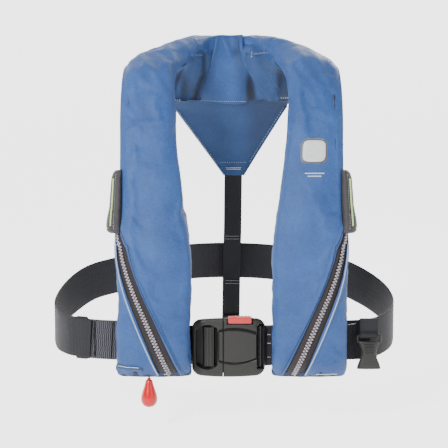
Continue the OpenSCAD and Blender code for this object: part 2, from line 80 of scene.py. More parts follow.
VIEW_DISTANCE = 1.42
VIEW_TILT = math.radians(5)
VIEW_CENTRE = Vector((-0.0093, 0, -0.186))
BACKDROP_GREY = 0.855
STAGE_REACH = 30.0
STAGE_GLOW = 3.0
WALL_AT = 1.6
WALL_TOP = 4.0
SWEEP = 0.8  # radius of the curve between floor and wall
STUDIO_TONE = 0.44  # the studio is bright, so every paint is mixed this much darker


def make_camera():
    data = bpy.data.cameras.new("camera")
    set_all(data, lens=86.3, sensor_width=36)
    camera = bpy.data.objects.new("camera", data)
    back = Vector((0, -math.cos(VIEW_TILT), math.sin(VIEW_TILT)))
    camera.location = VIEW_CENTRE + back * VIEW_DISTANCE
    camera.rotation_euler = (math.pi / 2 - VIEW_TILT, 0, 0)
    bpy.context.scene.collection.objects.link(camera)
    bpy.context.scene.camera = camera


def area_light(name, place, target, size, power):
    data = bpy.data.lights.new(name, "AREA")
    set_all(data, shape="DISK", size=size, energy=power)
    light = bpy.data.objects.new(name, data)
    light.location = place
    light.rotation_euler = (Vector(target) - Vector(place)).to_track_quat("-Z", "Y").to_euler()
    bpy.context.scene.collection.objects.link(light)


def make_studio():
    world = bpy.data.worlds.new("studio")
    world.use_nodes = True
    grey = (BACKDROP_GREY, BACKDROP_GREY, BACKDROP_GREY, 1)
    set_inputs(world.node_tree.nodes["Background"], Color=grey, Strength=0.5)
    bpy.context.scene.world = world
    middle = (0, 0, -0.15)
    area_light("key", (-0.9, -1.6, 0.7), middle, 0.5, 90)
    area_light("fill", (1.5, -1.4, 0.2), middle, 1.4, 16)
    area_light("top", (0.1, 0.3, 1.6), middle, 0.8, 8)
    area_light("rim", (0.5, 1.5, 0.7), middle, 1.0, 20)


def make_stage():
    """A floor that sweeps up into a wall behind, all one pale sheet."""
    turns = [k * math.pi / 24 for k in range(1, 13)]
    depth = [-STAGE_REACH, WALL_AT] + [WALL_AT + SWEEP * math.sin(a) for a in turns] + [WALL_AT + SWEEP]
    rise = [0, 0] + [SWEEP - SWEEP * math.cos(a) for a in turns] + [WALL_TOP]
    floor_z = cad_box[0][2] - 0.03
    verts = [(x, y, floor_z + z) for y, z in zip(depth, rise) for x in (-STAGE_REACH, STAGE_REACH)]
    faces = [(2 * i, 2 * i + 1, 2 * i + 3, 2 * i + 2) for i in range(len(depth) - 1)]
    mesh = bpy.data.meshes.new("stage")
    mesh.from_pydata(verts, [], faces)
    mesh.shade_smooth()
    stage = bpy.data.objects.new("stage", mesh)
    bpy.context.scene.collection.objects.link(stage)
    paint = bpy.data.materials.new("stage")
    paint.use_nodes = True
    set_inputs(
        paint.node_tree.nodes["Principled BSDF"], Base_Color=(0.25, 0.25, 0.25, 1), Roughness=1.0,
        Specular_IOR_Level=0.0, Emission_Color=(1, 1, 1, 1), Emission_Strength=STAGE_GLOW,
    )
    mesh.materials.append(paint)


# ------------------------------------------------------------------ materials

class Paint:
    """A procedural material: a Principled shader with a small set of node helpers."""

    def __init__(self, name, rough, metallic=0.0, sheen=0.0, coat=0.0, specular=0.5):
        self.material = bpy.data.materials.new(name)
        self.material.use_nodes = True
        self.tree = self.material.node_tree
        self.shader = self.tree.nodes["Principled BSDF"]
        set_inputs(
            self.shader, Roughness=rough, Metallic=metallic, Sheen_Weight=sheen,
            Coat_Weight=coat, Specular_IOR_Level=specular,
        )
        self.coords = self.tree.nodes.new("ShaderNodeTexCoord")

    def link(self, source, target):
        if isinstance(source, (int, float)):
            target.default_value = source
        else:
            self.tree.links.new(source, target)

    def node(self, kind, sources, **values):
        """A new node; sources gives its inputs a number or another node's output."""
        node = set_all(self.tree.nodes.new("ShaderNode" + kind), **values)
        for key, source in sources.items():
            self.link(source, node.inputs[key])
        return node

    def math(self, operation, a, b):
        return self.node("Math", {0: a, 1: b}, operation=operation).outputs[0]

    def add(self, a, b):
        return self.math("ADD", a, b)

    def times(self, a, b):
        return self.math("MULTIPLY", a, b)

    def less(self, a, b):
        return self.math("SUBTRACT", a, b)

    def uv(self):
        """Distance across and along the piece, in metres."""
        return self.node("SeparateXYZ", {0: self.coords.outputs["UV"]}).outputs[:2]

    def ripple(self, value, period):
        return self.math("SINE", self.times(value, TAU / period), 0)

    def mottle(self, size, detail):
        sources = {"Vector": self.coords.outputs["Object"], "Scale": 1 / size, "Detail": detail}
        return self.node("TexNoise", sources).outputs[0]

    def blend(self, dark, light, amount):
        """The colour between two tones, darkened by the shade painted into the piece's vertices."""
        ramp = self.node("ValToRGB", {0: amount})
        for element, tone in zip(ramp.color_ramp.elements, (dark, light)):
            element.color = (*(c * STUDIO_TONE for c in tone), 1)
        painted_shade = self.node("Attribute", {}, attribute_name="painted_shade")
        sources = {0: ramp.outputs[0], "Scale": self.less(1.0, painted_shade.outputs["Fac"])}
        shaded = self.node("VectorMath", sources, operation="SCALE")
        self.link(shaded.outputs[0], self.shader.inputs["Base Color"])

    def relief(self, height, depth, strength=1.0):
        bump = self.node("Bump", {"Strength": strength, "Distance": depth, "Height": height})
        self.link(bump.outputs[0], self.shader.inputs["Normal"])

    def rough_range(self, low, high, amount):
        self.link(self.add(self.times(amount, high - low), low), self.shader.inputs["Roughness"])


def srgb(*rgb):
    shares = [v / 255 for v in rgb]
    return tuple(c / 12.92 if c <= 0.04045 else ((c + 0.055) / 1.055) ** 2.4 for c in shares)


def nylon(name, mid, light, weave=1.15 * MM, crumple=1.0):
    """Twill-woven nylon: diagonal lines, a finer cross thread, small crumples and slow shifts of tone."""
    p = Paint(name, 0.55, sheen=0.02, specular=0.22)
    across, length = p.uv()
    twill = p.ripple(p.add(across, p.times(length, 1.25)), weave)
    cross = p.ripple(p.less(across, length), weave * 0.47)
    fleck = p.mottle(1.9 * MM, 3)
    cloud = p.mottle(30 * MM, 4)
    wrinkle = p.mottle(9 * MM, 2)
    threads = p.add(p.times(twill, 0.6), p.times(cross, 0.25))
    fine = p.add(p.times(threads, 0.14), p.times(fleck, 0.75))
    tone = p.add(fine, p.times(p.less(cloud, 0.38), 0.55))
    p.blend(mid, light, tone)
    surface = p.add(p.times(threads, 0.07), p.times(fleck, 0.16))
    p.relief(p.add(surface, p.times(wrinkle, 0.9 * crumple)), 1.0 * MM, 0.8)
    p.rough_range(0.42, 0.66, fleck)
    return p.material


def webbing(name, dark, light, rib=2.3 * MM, strong=1.0, contrast=0.3):
    """Black webbing with wavy ribs across it and fine threads along it."""
    p = Paint(name, 0.6, sheen=0.03, specular=0.2)
    across, length = p.uv()
    wave = p.times(p.ripple(across, 7.5 * MM), 0.3 * MM)
    ribs = p.ripple(p.add(length, wave), rib)
    threads = p.ripple(across, 1.1 * MM)
    fuzz = p.mottle(0.9 * MM, 2)
    height = p.add(p.times(ribs, 0.7 * strong), p.times(threads, 0.2))
    tone = p.add(p.times(height, contrast), p.times(fuzz, 0.8))
    p.blend(dark, light, tone)
    p.relief(p.add(height, p.times(fuzz, 0.4)), 0.35 * MM, 0.8)
    return p.material


def moulded(name, dark, light, rough=0.42, grain=0.5 * MM, depth=0.05 * MM, coat=0.0):
    """Moulded plastic with a spark-eroded grain and scuffs that vary its gloss."""
    p = Paint(name, rough, coat=coat, specular=0.25)
    grains = p.mottle(grain, 4)
    scuffs = p.mottle(16 * MM, 5)
    p.blend(dark, light, p.add(p.times(grains, 0.5), p.times(scuffs, 0.5)))
    p.relief(grains, depth, 0.6)
    p.rough_range(rough - 0.08, rough + 0.14, scuffs)
    return p.material


def metal(name, tone, rough=0.3):
    p = Paint(name, rough, metallic=1.0)
    streaks = p.mottle(1.2 * MM, 6)
    p.blend(tuple(c * 0.8 for c in tone), tone, streaks)
    p.rough_range(rough - 0.06, rough + 0.15, streaks)
    p.relief(streaks, 0.01 * MM, 0.4)
    return p.material


def thread(name, dark, light):
    p = Paint(name, 0.55, sheen=0.3)
    fuzz = p.mottle(0.7 * MM, 3)
    p.blend(dark, light, fuzz)
    p.relief(fuzz, 0.1 * MM, 0.6)
    return p.material


PAINT = {
    "nylon": nylon("nylon", srgb(26, 60, 117), srgb(68, 114, 186)),
    # nylon_shade is the same nylon painted darker: painted shade for the gussets, yoke and hem fold, which
    # lie in shadow
    "nylon_shade": nylon("nylon_shade", srgb(24, 54, 100), srgb(60, 100, 160)),
    "hem_nylon": nylon("hem_nylon", srgb(16, 30, 62), srgb(36, 60, 108)),
    "tape": webbing("tape", srgb(26, 23, 25), srgb(66, 58, 60), 1.3 * MM, 0.5),
    "tab": nylon("tab", srgb(44, 41, 44), srgb(80, 76, 80), 0.9 * MM),
    "lime": thread("lime", srgb(150, 205, 90), srgb(205, 240, 150)),
    "webbing": webbing("webbing", srgb(12, 12, 16), srgb(50, 50, 58)),
    "webbing_ribbed": webbing("webbing_ribbed", srgb(14, 14, 18), srgb(112, 112, 122), 2.4 * MM, 1.3, 0.62),
    "webbing_plain": webbing("webbing_plain", srgb(12, 12, 16), srgb(44, 44, 52), 1.6 * MM, 0.35),
    "teeth": moulded("teeth", srgb(140, 130, 140), srgb(206, 198, 206), 0.35, 0.4 * MM, 0.02 * MM),
    "plastic": moulded("plastic", srgb(26, 26, 25), srgb(54, 53, 51), 0.4),
    "plastic_dark": moulded("plastic_dark", srgb(24, 24, 24), srgb(46, 46, 46), 0.45),
    "button": moulded("button", srgb(214, 44, 48), srgb(240, 70, 72), 0.4),
    "toggle": moulded("toggle", srgb(214, 10, 22), srgb(240, 26, 34), 0.26, 1.2 * MM, 0.02 * MM, 0.15),
    "cord": thread("cord", srgb(190, 190, 182), srgb(232, 232, 226)),
    "stitch": thread("stitch", srgb(214, 218, 222), srgb(246, 248, 250)),
    "stitch_blue": thread("stitch_blue", srgb(120, 150, 196), srgb(170, 194, 226)),
    "stitch_grey": thread("stitch_grey", srgb(120, 122, 130), srgb(176, 178, 186)),
    # a light blue copy of the nylon: a painted highlight on the rolled edges beside the zips and down the
    # yoke's left side
    "piping_and_highlight": thread("piping_and_highlight", srgb(132, 164, 210), srgb(186, 208, 236)),
    "badge": nylon("badge", srgb(214, 216, 218), srgb(240, 242, 244), 0.9 * MM),
    "badge_edge": thread("badge_edge", srgb(50, 52, 58), srgb(82, 84, 90)),
    "steel": metal("steel", srgb(186, 188, 192)),
    "black": moulded("black", srgb(24, 24, 26), srgb(48, 48, 50)),
    "bladder": nylon("bladder", srgb(206, 178, 20), srgb(240, 220, 70), 0.8 * MM),
    "orange": moulded("orange", srgb(220, 96, 20), srgb(240, 130, 40)),
    "yellow": moulded("yellow", srgb(214, 170, 20), srgb(238, 200, 50)),
}

# ------------------------------------------------------------------ the jacket's own geometry

# Stations of the left half, from the hem over the shoulder to the nape, in millimetres:
# centre, direction from outer to inner edge, outward direction, width, thickness.
LOBE_POWER = 2.6
LEFT = [
    ((-95, -106, -362), (1, 0, 0), (0, -1, 0), 88, 24),
    ((-95, -109, -352), (1, 0, 0), (0, -1, 0), 90, 37),
    ((-95, -111, -336), (1, 0, 0), (0, -1, 0), 91, 44.5),
    ((-95, -112, -300), (1, 0, 0), (0, -1, 0), 91, 46),
    ((-95, -112, -250), (1, 0, 0), (0, -1, 0), 91, 46),
    ((-96, -110, -200), (1, 0, 0), (0, -1, 0), 88, 44),
    ((-97, -104, -145), (1, 0, 0), (0, -1, 0.05), 76, 42),
    ((-101, -94, -90), (1, 0, 0), (0, -1, 0.15), 67, 39),
    ((-103, -78, -40), (1, 0, 0.05), (0, -0.95, 0.3), 65, 37),
    ((-102, -52, 2), (1, 0, 0.15), (-0.1, -0.75, 0.65), 66, 36),
    ((-96, -18, 23), (0.93, -0.1, 0.3), (-0.3, -0.3, 0.9), 72, 36),
    ((-78, 20, 30), (0.75, -0.35, 0.55), (-0.6, 0.3, 0.75), 78, 34),
    ((-45, 52, 26.5), (0.35, -0.3, 0.88), (-0.5, 0.8, 0.45), 85, 30),
    ((0, 64, 20), (0, -0.2, 0.98), (0, 0.98, 0.2), 90, 28),
]
SEAM = 11


def mirrored(s):
    return tuple((-v[0], v[1], v[2]) for v in s[:3]) + s[3:]


NAPE = LEFT[SEAM - 1 :] + [mirrored(s) for s in LEFT[SEAM - 1 : -1][::-1]]
ZIP_LINE = [(-364, -74.6), (-262, -117), (-240, -125), (-219, -131), (-200, -134.5)]
ZIP_RIM = [(-200, 148), (-165, 178)]


def pack_stations(rows):
    return np.array([[*s[0], *s[1], *s[2], s[3], s[4]] for s in rows], float)


LEFT_TABLE = pack_stations(LEFT)
NAPE_TABLE = pack_stations(NAPE)


def smooth_at(table, u):
    """A smooth curve through the rows of a table, at row number u."""
    last = len(table) - 1
    i = min(int(u), last - 1)
    t = u - i
    a, b, c, d = table[max(i - 1, 0)], table[i], table[i + 1], table[min(i + 2, last)]
    return 0.5 * (
        2 * b + (c - a) * t + (2 * a - 5 * b + 4 * c - d) * t**2 + (3 * b - a - 3 * c + d) * t**3
    )


def station(table, u):
    q = smooth_at(table, u)
    w = q[3:6] / np.linalg.norm(q[3:6])
    t = q[6:9] - w * (q[6:9] @ w)
    return q[0:3], w, t / np.linalg.norm(t), q[9], q[10]


def section(angle):
    """Unit shape of a lobe's section: 0 is the inner edge, 90 outward, 180 the outer edge."""
    a = np.radians(angle)
    c, s = np.cos(a), np.sin(a)
    r = (np.abs(c) ** LOBE_POWER + np.abs(s) ** LOBE_POWER) ** (-1 / LOBE_POWER)
    return r * c, r * s


def skin(s, angle, lift):
    """Points on the section of a station at these angles, lifted off it, in metres."""
    c, w, t, wide, thick = s
    x, y = section(np.asarray(angle, float))
    lift = np.broadcast_to(lift, x.shape)
    return (c + np.outer(x * (wide / 2 + lift), w) + np.outer(y * (thick / 2 + lift), t)) * MM


def per_degree(s, angle):
    """Millimetres round the section for one degree at this angle."""
    a, b = skin(s, [angle - 2, angle + 2], 0)
    return np.linalg.norm(a - b) / MM / 4


def lookup(z, table):
    return float(np.interp(z, [p[0] for p in table], [p[1] for p in table]))


def zip_angle(s):
    z = s[0][2]
    if z >= ZIP_RIM[0][0]:
        return lookup(z, ZIP_RIM)
    across = (lookup(z, ZIP_LINE) - s[0][0]) / (s[3] / 2)
    out = (1 - min(abs(across), 0.97) ** LOBE_POWER) ** (1 / LOBE_POWER)
    return math.degrees(math.atan2(out, across))


def ease(x):
    x = min(max(x, 0.0), 1.0)
    return x * x * (3 - 2 * x)


def mix(a, b, t):
    return a + (b - a) * t


def bump(x, at, width):
    return math.exp(-(((x - at) / width) ** 2))


def noisy(p, size, seed):
    """Smooth noise about zero for a point in metres."""
    return noise.noise(Vector((p[0] / size + seed, p[1] / size - seed, p[2] / size + 2 * seed)))


# ------------------------------------------------------------------ mesh helpers

def modify(piece, name, kind, **values):
    return set_all(piece.modifiers.new(name, kind), **values)


def new_piece(name, verts, faces, paint, body=JACKET, uvs=None):
    mesh = bpy.data.meshes.new(name)
    mesh.from_pydata([tuple(v) for v in verts], [], faces)
    if uvs is not None:
        layer = mesh.uv_layers.new(name="UVMap")
        index = np.zeros(len(mesh.loops), np.int32)
        mesh.loops.foreach_get("vertex_index", index)
        layer.data.foreach_set("uv", np.asarray(uvs, np.float32)[index].ravel())
    mesh.shade_smooth()
    mesh.materials.append(PAINT[paint])
    piece = bpy.data.objects.new(name, mesh)
    bpy.context.scene.collection.objects.link(piece)
    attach(piece, body)
    return piece


def paint_vertex_shade(piece, amounts):
    """Paints shade into the cloth where it is folded under or lies in shadow, by a share from 0 to 1 for each
    vertex.
    """
    layer = piece.data.attributes.new("painted_shade", "FLOAT", "POINT")
    layer.data.foreach_set("value", np.clip(np.asarray(amounts, np.float32).ravel(), 0, 0.9))


def path_lengths(points):
    steps = np.linalg.norm(np.diff(points, axis=0), axis=-1)
    return np.concatenate([np.zeros((1,) + steps.shape[1:]), np.cumsum(steps, axis=0)])


def at_length(points, along, where):
    return np.array([np.interp(where, along, column) for column in points.T])


def grid_faces(rows, cols):
    starts = [r * cols + c for r in range(rows - 1) for c in range(cols - 1)]
    return [(a, a + 1, a + cols + 1, a + cols) for a in starts]


def ring_faces(rings, sides, base=0):
    """Faces of a closed solid through rings of points, capped at both ends."""
    faces = []
    for start in range(base, base + (rings - 1) * sides, sides):
        for c in range(sides):
            p, q = start + c, start + (c + 1) % sides
            faces.append((p, q, q + sides, p + sides))
    last = base + (rings - 1) * sides
    return faces + [tuple(range(base, base + sides))[::-1], tuple(range(last, last + sides))]


def sheet_piece(name, grid, paint, body=JACKET, thick=0.0, outward=True):
    """A sheet from rows of points; thick gives it a second side, inward."""
    rows, cols = grid.shape[:2]
    middle = cols // 2
    along = path_lengths(grid[:, middle])
    across = path_lengths(grid.transpose(1, 0, 2)).T
    across = across - across[:, middle : middle + 1]
    uvs = np.stack([across, np.repeat(along[:, None], cols, 1)], axis=-1).reshape(-1, 2)
    faces = grid_faces(rows, cols)
    if not outward:
        faces = [face[::-1] for face in faces]
    piece = new_piece(name, grid.reshape(-1, 3), faces, paint, body, uvs)
    if thick:
        modify(piece, "thickness", "SOLIDIFY", thickness=thick, offset=-1)
    return piece


def loop_piece(name, rings, paint, body=JACKET, uvs=None):
    """A closed solid through rings of points, capped at both ends."""
    rings = np.asarray(rings, float)
    n, m = rings.shape[:2]
    if uvs is None:
        ring_u = np.concatenate([[0], np.cumsum(np.linalg.norm(np.diff(rings[0], axis=0), axis=1))])
        along = path_lengths(rings.mean(axis=1))
        uvs = np.stack([np.tile(ring_u, (n, 1)), np.repeat(along[:, None], m, 1)], -1).reshape(-1, 2)
    return new_piece(name, rings.reshape(-1, 3), ring_faces(n, m), paint, body, uvs)


def route_points(route, n=8):
    table = np.array(route, float)
    count = (len(route) - 1) * n + 1
    return np.array([smooth_at(table, u) for u in np.linspace(0, len(route) - 1, count)]) * MM


def directions(points):
    d = np.gradient(points, axis=0)
    return d / np.linalg.norm(d, axis=1)[:, None]


def strap(name, route, width, thick, paint, up=(0, 0, 1), body=JACKET, wave=0.0):
    """Flat webbing with soft edges along a route of millimetre points."""
    points = route_points(route)
    dirs = directions(points)
    half = [(-1, 0), (-0.985, 0.75), (-0.9, 1), (-0.45, 1), (0, 1), (0.45, 1), (0.9, 1), (0.985, 0.75)]
    profile = half + [(-x, -y) for x, y in half]
    rings, uvs = [], []
    along = path_lengths(points)
    for p, d, length in zip(points, dirs, along):
        w = np.array(up, float) - d * (np.array(up, float) @ d)
        w /= np.linalg.norm(w)
        t = np.cross(w, d)
        t /= np.linalg.norm(t)
        ripple = wave * noisy(p, 0.03, 1.0)
        sides = [(x * width / 2 * MM, y * thick / 2 * MM + ripple * (1 - x * x)) for x, y in profile]
        rings.append([p + w * x + t * y for x, y in sides])
        uvs += [(x * width / 2 * MM, length) for x, y in profile]
    return loop_piece(name, rings, paint, body, uvs)


def tube(name, points, radius, paint, body=JACKET, sides=8):
    points = np.asarray(points, float)
    dirs = directions(points)
    rings = []
    radii = np.broadcast_to(radius, len(points))
    for p, d, r in zip(points, dirs, radii):
        helper = np.array([0, 1.0, 0]) if abs(d[1]) < 0.9 else np.array([1.0, 0, 0])
        w = np.cross(d, helper)
        w /= np.linalg.norm(w)
        t = np.cross(d, w)
        turns = [TAU * k / sides for k in range(sides)]
        rings.append([p + r * (math.cos(a) * w + math.sin(a) * t) for a in turns])
    return loop_piece(name, rings, paint, body)


def bead_string(name, frames, rings, sides, paint, body=JACKET):
    """Small closed beads; a frame is a centre and its scaled axes: along, aside and up."""
    verts, faces = [], []
    for centre, along, aside, up in frames:
        faces += ring_faces(len(rings), sides, len(verts))
        for x, r in rings:
            for j in range(sides):
                a = TAU * j / sides
                verts.append(centre + along * x + (aside * math.cos(a) + up * math.sin(a)) * r)
    return new_piece(name, verts, faces, paint, body)


def stitches(name, points, normals, paint, length=2.2 * MM, gap=1.0 * MM, radius=0.32 * MM):
    """A line of thread: one small bead for every stitch."""
    points = np.asarray(points, float)
    normals = np.broadcast_to(np.asarray(normals, float), points.shape)
    along = path_lengths(points)
    total = along[-1]
    count = max(1, int(total / (length + gap)))
    frames = []
    for k in range(count):
        middle = (k + 0.5) * total / count
        ahead = at_length(points, along, min(middle + length / 2, total))
        behind = at_length(points, along, max(middle - length / 2, 0))
        d = (ahead - behind) / np.linalg.norm(ahead - behind)
        side = np.cross(d, at_length(normals, along, middle))
        side /= np.linalg.norm(side)
        centre = at_length(points, along, middle)
        frames.append((centre, d * length / 2, side * radius, np.cross(side, d) * radius))
    bead_string(name, frames, [(-1, 0.35), (-0.8, 0.85), (0, 1.0), (0.8, 0.85), (1, 0.35)], 6, paint)


def surface_of(piece):
    graph = bpy.context.evaluated_depsgraph_get()
    return BVHTree.FromObject(piece, graph)


def settle(tree, points, normals, lift):
    """Moves points onto a surface along their normals, then lifts them off it."""
    out, found = [], []
    for p, n in zip(points, normals):
        n = Vector(n).normalized()
        hit, face_normal, _, _ = tree.ray_cast(Vector(p) + n * 0.02, -n, 0.05)
        face_normal = n if hit is None or face_normal.dot(n) < 0.2 else face_normal
        place = Vector(p) if hit is None else hit
        out.append(place + face_normal * lift)
        found.append(face_normal)
    return np.array(out), np.array(found)


# ------------------------------------------------------------------ free cords

CORD_ROUTE = [(-102, -108, -323.4), (-102, -108, -345), (-102, -108, -366.8)]
WHISTLE_ROUTE = [(72, -117, -282), (74, -118, -270), (80, -118, -258), (88, -117, -250)]


def cord_curve(name, route, diameter, paint, body):
    points = route_points(route, 8)
    curve = bpy.data.curves.new(name, "CURVE")
    curve.dimensions = "3D"
    curve.bevel_depth = diameter / 2
    curve.bevel_resolution = 3
    spline = curve.splines.new("POLY")
    spline.points.add(len(points) - 1)
    for slot, p in zip(spline.points, points):
        slot.co = (*p, 1)
    curve.materials.append(PAINT[paint])
    piece = bpy.data.objects.new(name, curve)
    bpy.context.scene.collection.objects.link(piece)
    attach(piece, body)
    return piece, points, path_lengths(points)[-1]


def turned(name, centre, outline, paint, body, sides=48, seam=0.0):
    """A solid turned about a vertical axis through centre, from (radius, height) pairs in millimetres."""
    rings = []
    for r, z in outline:
        ring = []
        for k in range(sides):
            a = TAU * k / sides
            ridge = seam * math.exp(-((math.sin(a) * 9) ** 2)) * min(1, r / 4)
            x = centre[0] + (r + ridge) * math.cos(a)
            y = centre[1] + r * math.sin(a)
            ring.append((x * MM, y * MM, z * MM))
        rings.append(ring)
    return loop_piece(name, rings, paint, body)


def dress_cords():
    drop = [
        (0.3, -404), (3, -403.8), (6, -402.6), (8.4, -400), (9.7, -396.6), (10, -393.5), (9.6, -390),
        (8.7, -386.5), (7.2, -382), (5.7, -377.5), (4.6, -373.6), (4.0, -371), (3.2, -369.9),
        (1.4, -369.4), (0.3, -369.3),
    ]
    toggle = turned("toggle_drop", (-102, -108), drop, "toggle", "toggle", seam=0.25)
    eye_ends = [(-0.102, y, -0.3694) for y in (-0.110, -0.106)]
    eye = tube("toggle_eye", eye_ends, 2.2 * MM, "toggle", "toggle", 20)
    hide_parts("pull_toggle")
    cord, points, length = cord_curve("pull_line", CORD_ROUTE, 2.5 * MM, "cord", "pull")
    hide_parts("pull_cord")
    lanyard, points, length = cord_curve("whistle_line", WHISTLE_ROUTE, 2.0 * MM, "cord", JACKET)
    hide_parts("whistle_lanyard")


# ------------------------------------------------------------------ covers

SLIT = [(-364, 13.0), (-262, 10.0), (-200, 8.6), (-165, 5.5), (-60, 5.0)]
ROLL_HEIGHT = 1.9
ROLL_AT = 2.4
BACK_SINK = 1.0  # least lift in millimetres at the back, where the bladder lies against the cover
CREASE = ((-122, -163), (-98, -182))


def slit_half(z):
    return lookup(z, SLIT)


def crease_depth(p):
    """A soft fold that runs down and inward across the front of the left lobe."""
    a = np.array(CREASE[0], float)
    b = np.array(CREASE[1], float)
    q = np.array([-abs(p[0]) / MM, p[2] / MM])
    t = np.clip((q - a) @ (b - a) / ((b - a) @ (b - a)), 0, 1)
    away = np.linalg.norm(q - a - t * (b - a))
    return -1.6 * bump(away, 0, 4.5) * math.sin(math.pi * (0.15 + 0.7 * t))


def cover_lift(p, u, edge, side):
    """How far the nylon stands off the lobe's even shape, in millimetres."""
    seed = 3.7 if side < 0 else 9.1
    lift = 1.3 * noisy(p, 0.055, seed) + 0.7 * noisy(p, 0.022, seed + 5) + 0.3 * noisy(p, 0.010, seed + 9)
    if side < 0:
        lift += crease_depth(p) if p[1] < -0.11 else 0
    shoulder = ease((u - 7.5) / 2)
    lift += shoulder * 0.6 * math.sin(p[0] / MM * 0.32 + p[2] / MM * 0.2 + 2 * noisy(p, 0.04, seed + 2))
    lift *= 1 - 0.6 * ease((u - 9.5) / 1.5)
    hem = bump(u, 0, 0.5)
    lift += hem * 0.9 * math.sin(p[0] / MM * 0.42 + seed)
    # room over the gas cylinder's clip at the left, and over the drawn tube cap at the right
    x0, z0, room = (-80, -206, 2.6) if side < 0 else (95, -152, 1.6)
    if p[1] < -0.1:
        lift += room * bump(abs(p[0]) / MM, abs(x0), 17) * bump(p[2] / MM, z0, 20)
    lift *= ease(edge / 14)
    lift += ROLL_HEIGHT * bump(edge, ROLL_AT, 1.7)
    return lift


def edge_steps(total):
    """Distances across a panel: close together at both slit edges, even between."""
    near = [0, 0.7, 1.5, 2.4, 3.3, 4.4, 6, 8.5, 12]
    middle = np.linspace(12, total - 12, 44)[1:-1]
    return np.array(near + list(middle) + [total - d for d in near[::-1]])


def arc_table(s, start, sweep, n=120):
    angles = np.linspace(start, start + sweep, n)
    points = skin(s, angles, 0)
    return angles, path_lengths(points) / MM


def cover_grid(side):
    rows = []
    for u in np.linspace(0, SEAM, 126):
        s = station(LEFT_TABLE, u)
        z = s[0][2]
        slit = zip_angle(s)
        angles, arcs = arc_table(s, slit, 360)
        half = slit_half(z)
        total = arcs[-1] - 2 * half
        distances = edge_steps(total)
        a = np.interp(distances + half, arcs, angles)
        base = skin(s, a, 0)
        edge = np.minimum(distances, total - distances)
        placed = base * (-side, 1, 1)
        lifts = np.array([cover_lift(p, u, e, side) for p, e in zip(placed, edge)])
        behind = np.sin(np.radians(a)) < -0.3
        lifts[behind] = np.maximum(lifts[behind], BACK_SINK)
        row = skin(s, a, lifts)
        row[:, 0] *= -side
        rows.append(row)
    return np.array(rows)


PRESSURE = 4.0
GROWTH = 0.03
CLOTH_FRAMES = 20
SINK_LIMIT = 0.2 * MM


def vertex_values(mesh, key):
    values = np.zeros(len(mesh.vertices) * 3)
    mesh.vertices.foreach_get(key, values)
    return values.reshape(-1, 3)


def simulate(piece, pins, cap):
    """Cloth under slight pressure, held along its seams; it may not sink or move more than the cap."""
    group = piece.vertex_groups.new(name="pins")
    group.add([int(i) for i in pins], 1.0, "REPLACE")
    cloth = piece.modifiers.new("cloth", "CLOTH")
    set_all(
        cloth.settings, quality=6, mass=0.15, tension_stiffness=20, compression_stiffness=8,
        shear_stiffness=6, bending_stiffness=0.15, air_damping=4, use_pressure=True,
        uniform_pressure_force=PRESSURE, shrink_min=-GROWTH, vertex_group_mass="pins",
    )
    cloth.settings.effector_weights.gravity = 0
    cloth.collision_settings.use_collision = False
    set_all(cloth.point_cache, frame_start=1, frame_end=CLOTH_FRAMES)
    scene = bpy.context.scene
    for frame_number in range(1, CLOTH_FRAMES + 1):
        scene.frame_set(frame_number)
        bpy.context.view_layer.update()
    shaped = piece.evaluated_get(bpy.context.evaluated_depsgraph_get())
    before = vertex_values(piece.data, "co")
    outward = vertex_values(piece.data, "normal")
    move = vertex_values(shaped.data, "co") - before
    rise = (move * outward).sum(axis=1)
    move += outward * np.maximum(-SINK_LIMIT - rise, 0)[:, None]
    size = np.linalg.norm(move, axis=1)
    move *= (cap * np.tanh(size / cap) / np.maximum(size, 1e-9))[:, None]
    piece.modifiers.remove(cloth)
    piece.vertex_groups.remove(group)
    scene.frame_set(1)
    piece.data.vertices.foreach_set("co", (before + move).ravel())
    piece.data.update()


def finish_cloth(piece, thick):
    modify(piece, "smooth", "SUBSURF", levels=1, render_levels=1)
    modify(piece, "thickness", "SOLIDIFY", thickness=thick, offset=-1)


def side_name(side):
    return "left" if side < 0 else "right"


def make_cover(side):
    grid = cover_grid(side)
    rows, cols = grid.shape[:2]
    cover = sheet_piece("lobe_cover_" + side_name(side), grid, "nylon", outward=side < 0)
    index = np.arange(rows * cols).reshape(rows, cols)
    pins = np.unique(np.concatenate([index[0], index[-1], index[:, :8].ravel(), index[:, -8:].ravel()]))
    simulate(cover, pins, 3.6 * MM)
    finish_cloth(cover, 1.3 * MM)
    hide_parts("cover_" + side_name(side))
    return cover


# ------------------------------------------------------------------ zips

BEAD_PITCH = 3.8
BEAD_COLUMN = 1.45


def mirror_x(points, side):
    out = np.array(points, float)
    out[..., 0] *= -side
    return out


def skin_line(places, side, lifts=(1, 6)):
    """Points on a lobe at (station, angle) places, and the way outward at each."""
    pairs = np.array([skin(station(LEFT_TABLE, u), [a, a], lifts) for u, a in places])
    return mirror_x(pairs[:, 0], side), mirror_x(pairs[:, 1] - pairs[:, 0], side)


def make_tape(side):
    half = [
        (0, 0.2), (2.4, 0.3), (3.2, 0.9), (3.9, 1.1), (4.6, 0.5), (6, 0.2), (9, -0.1), (12, -0.7),
        (14.5, -1.2),
    ]
    across, rise = np.array([(-x, y) for x, y in half[:0:-1]] + half).T
    rows = []
    for u in np.linspace(0.12, SEAM, 150):
        s = station(LEFT_TABLE, u)
        a = zip_angle(s)
        rows.append(skin(s, a + across / per_degree(s, a), rise))
    grid = mirror_x(rows, side)
    tape = sheet_piece("tape_" + side_name(side), grid, "tape", thick=0.6 * MM, outward=side > 0)
    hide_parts("zip_tape_" + side_name(side))


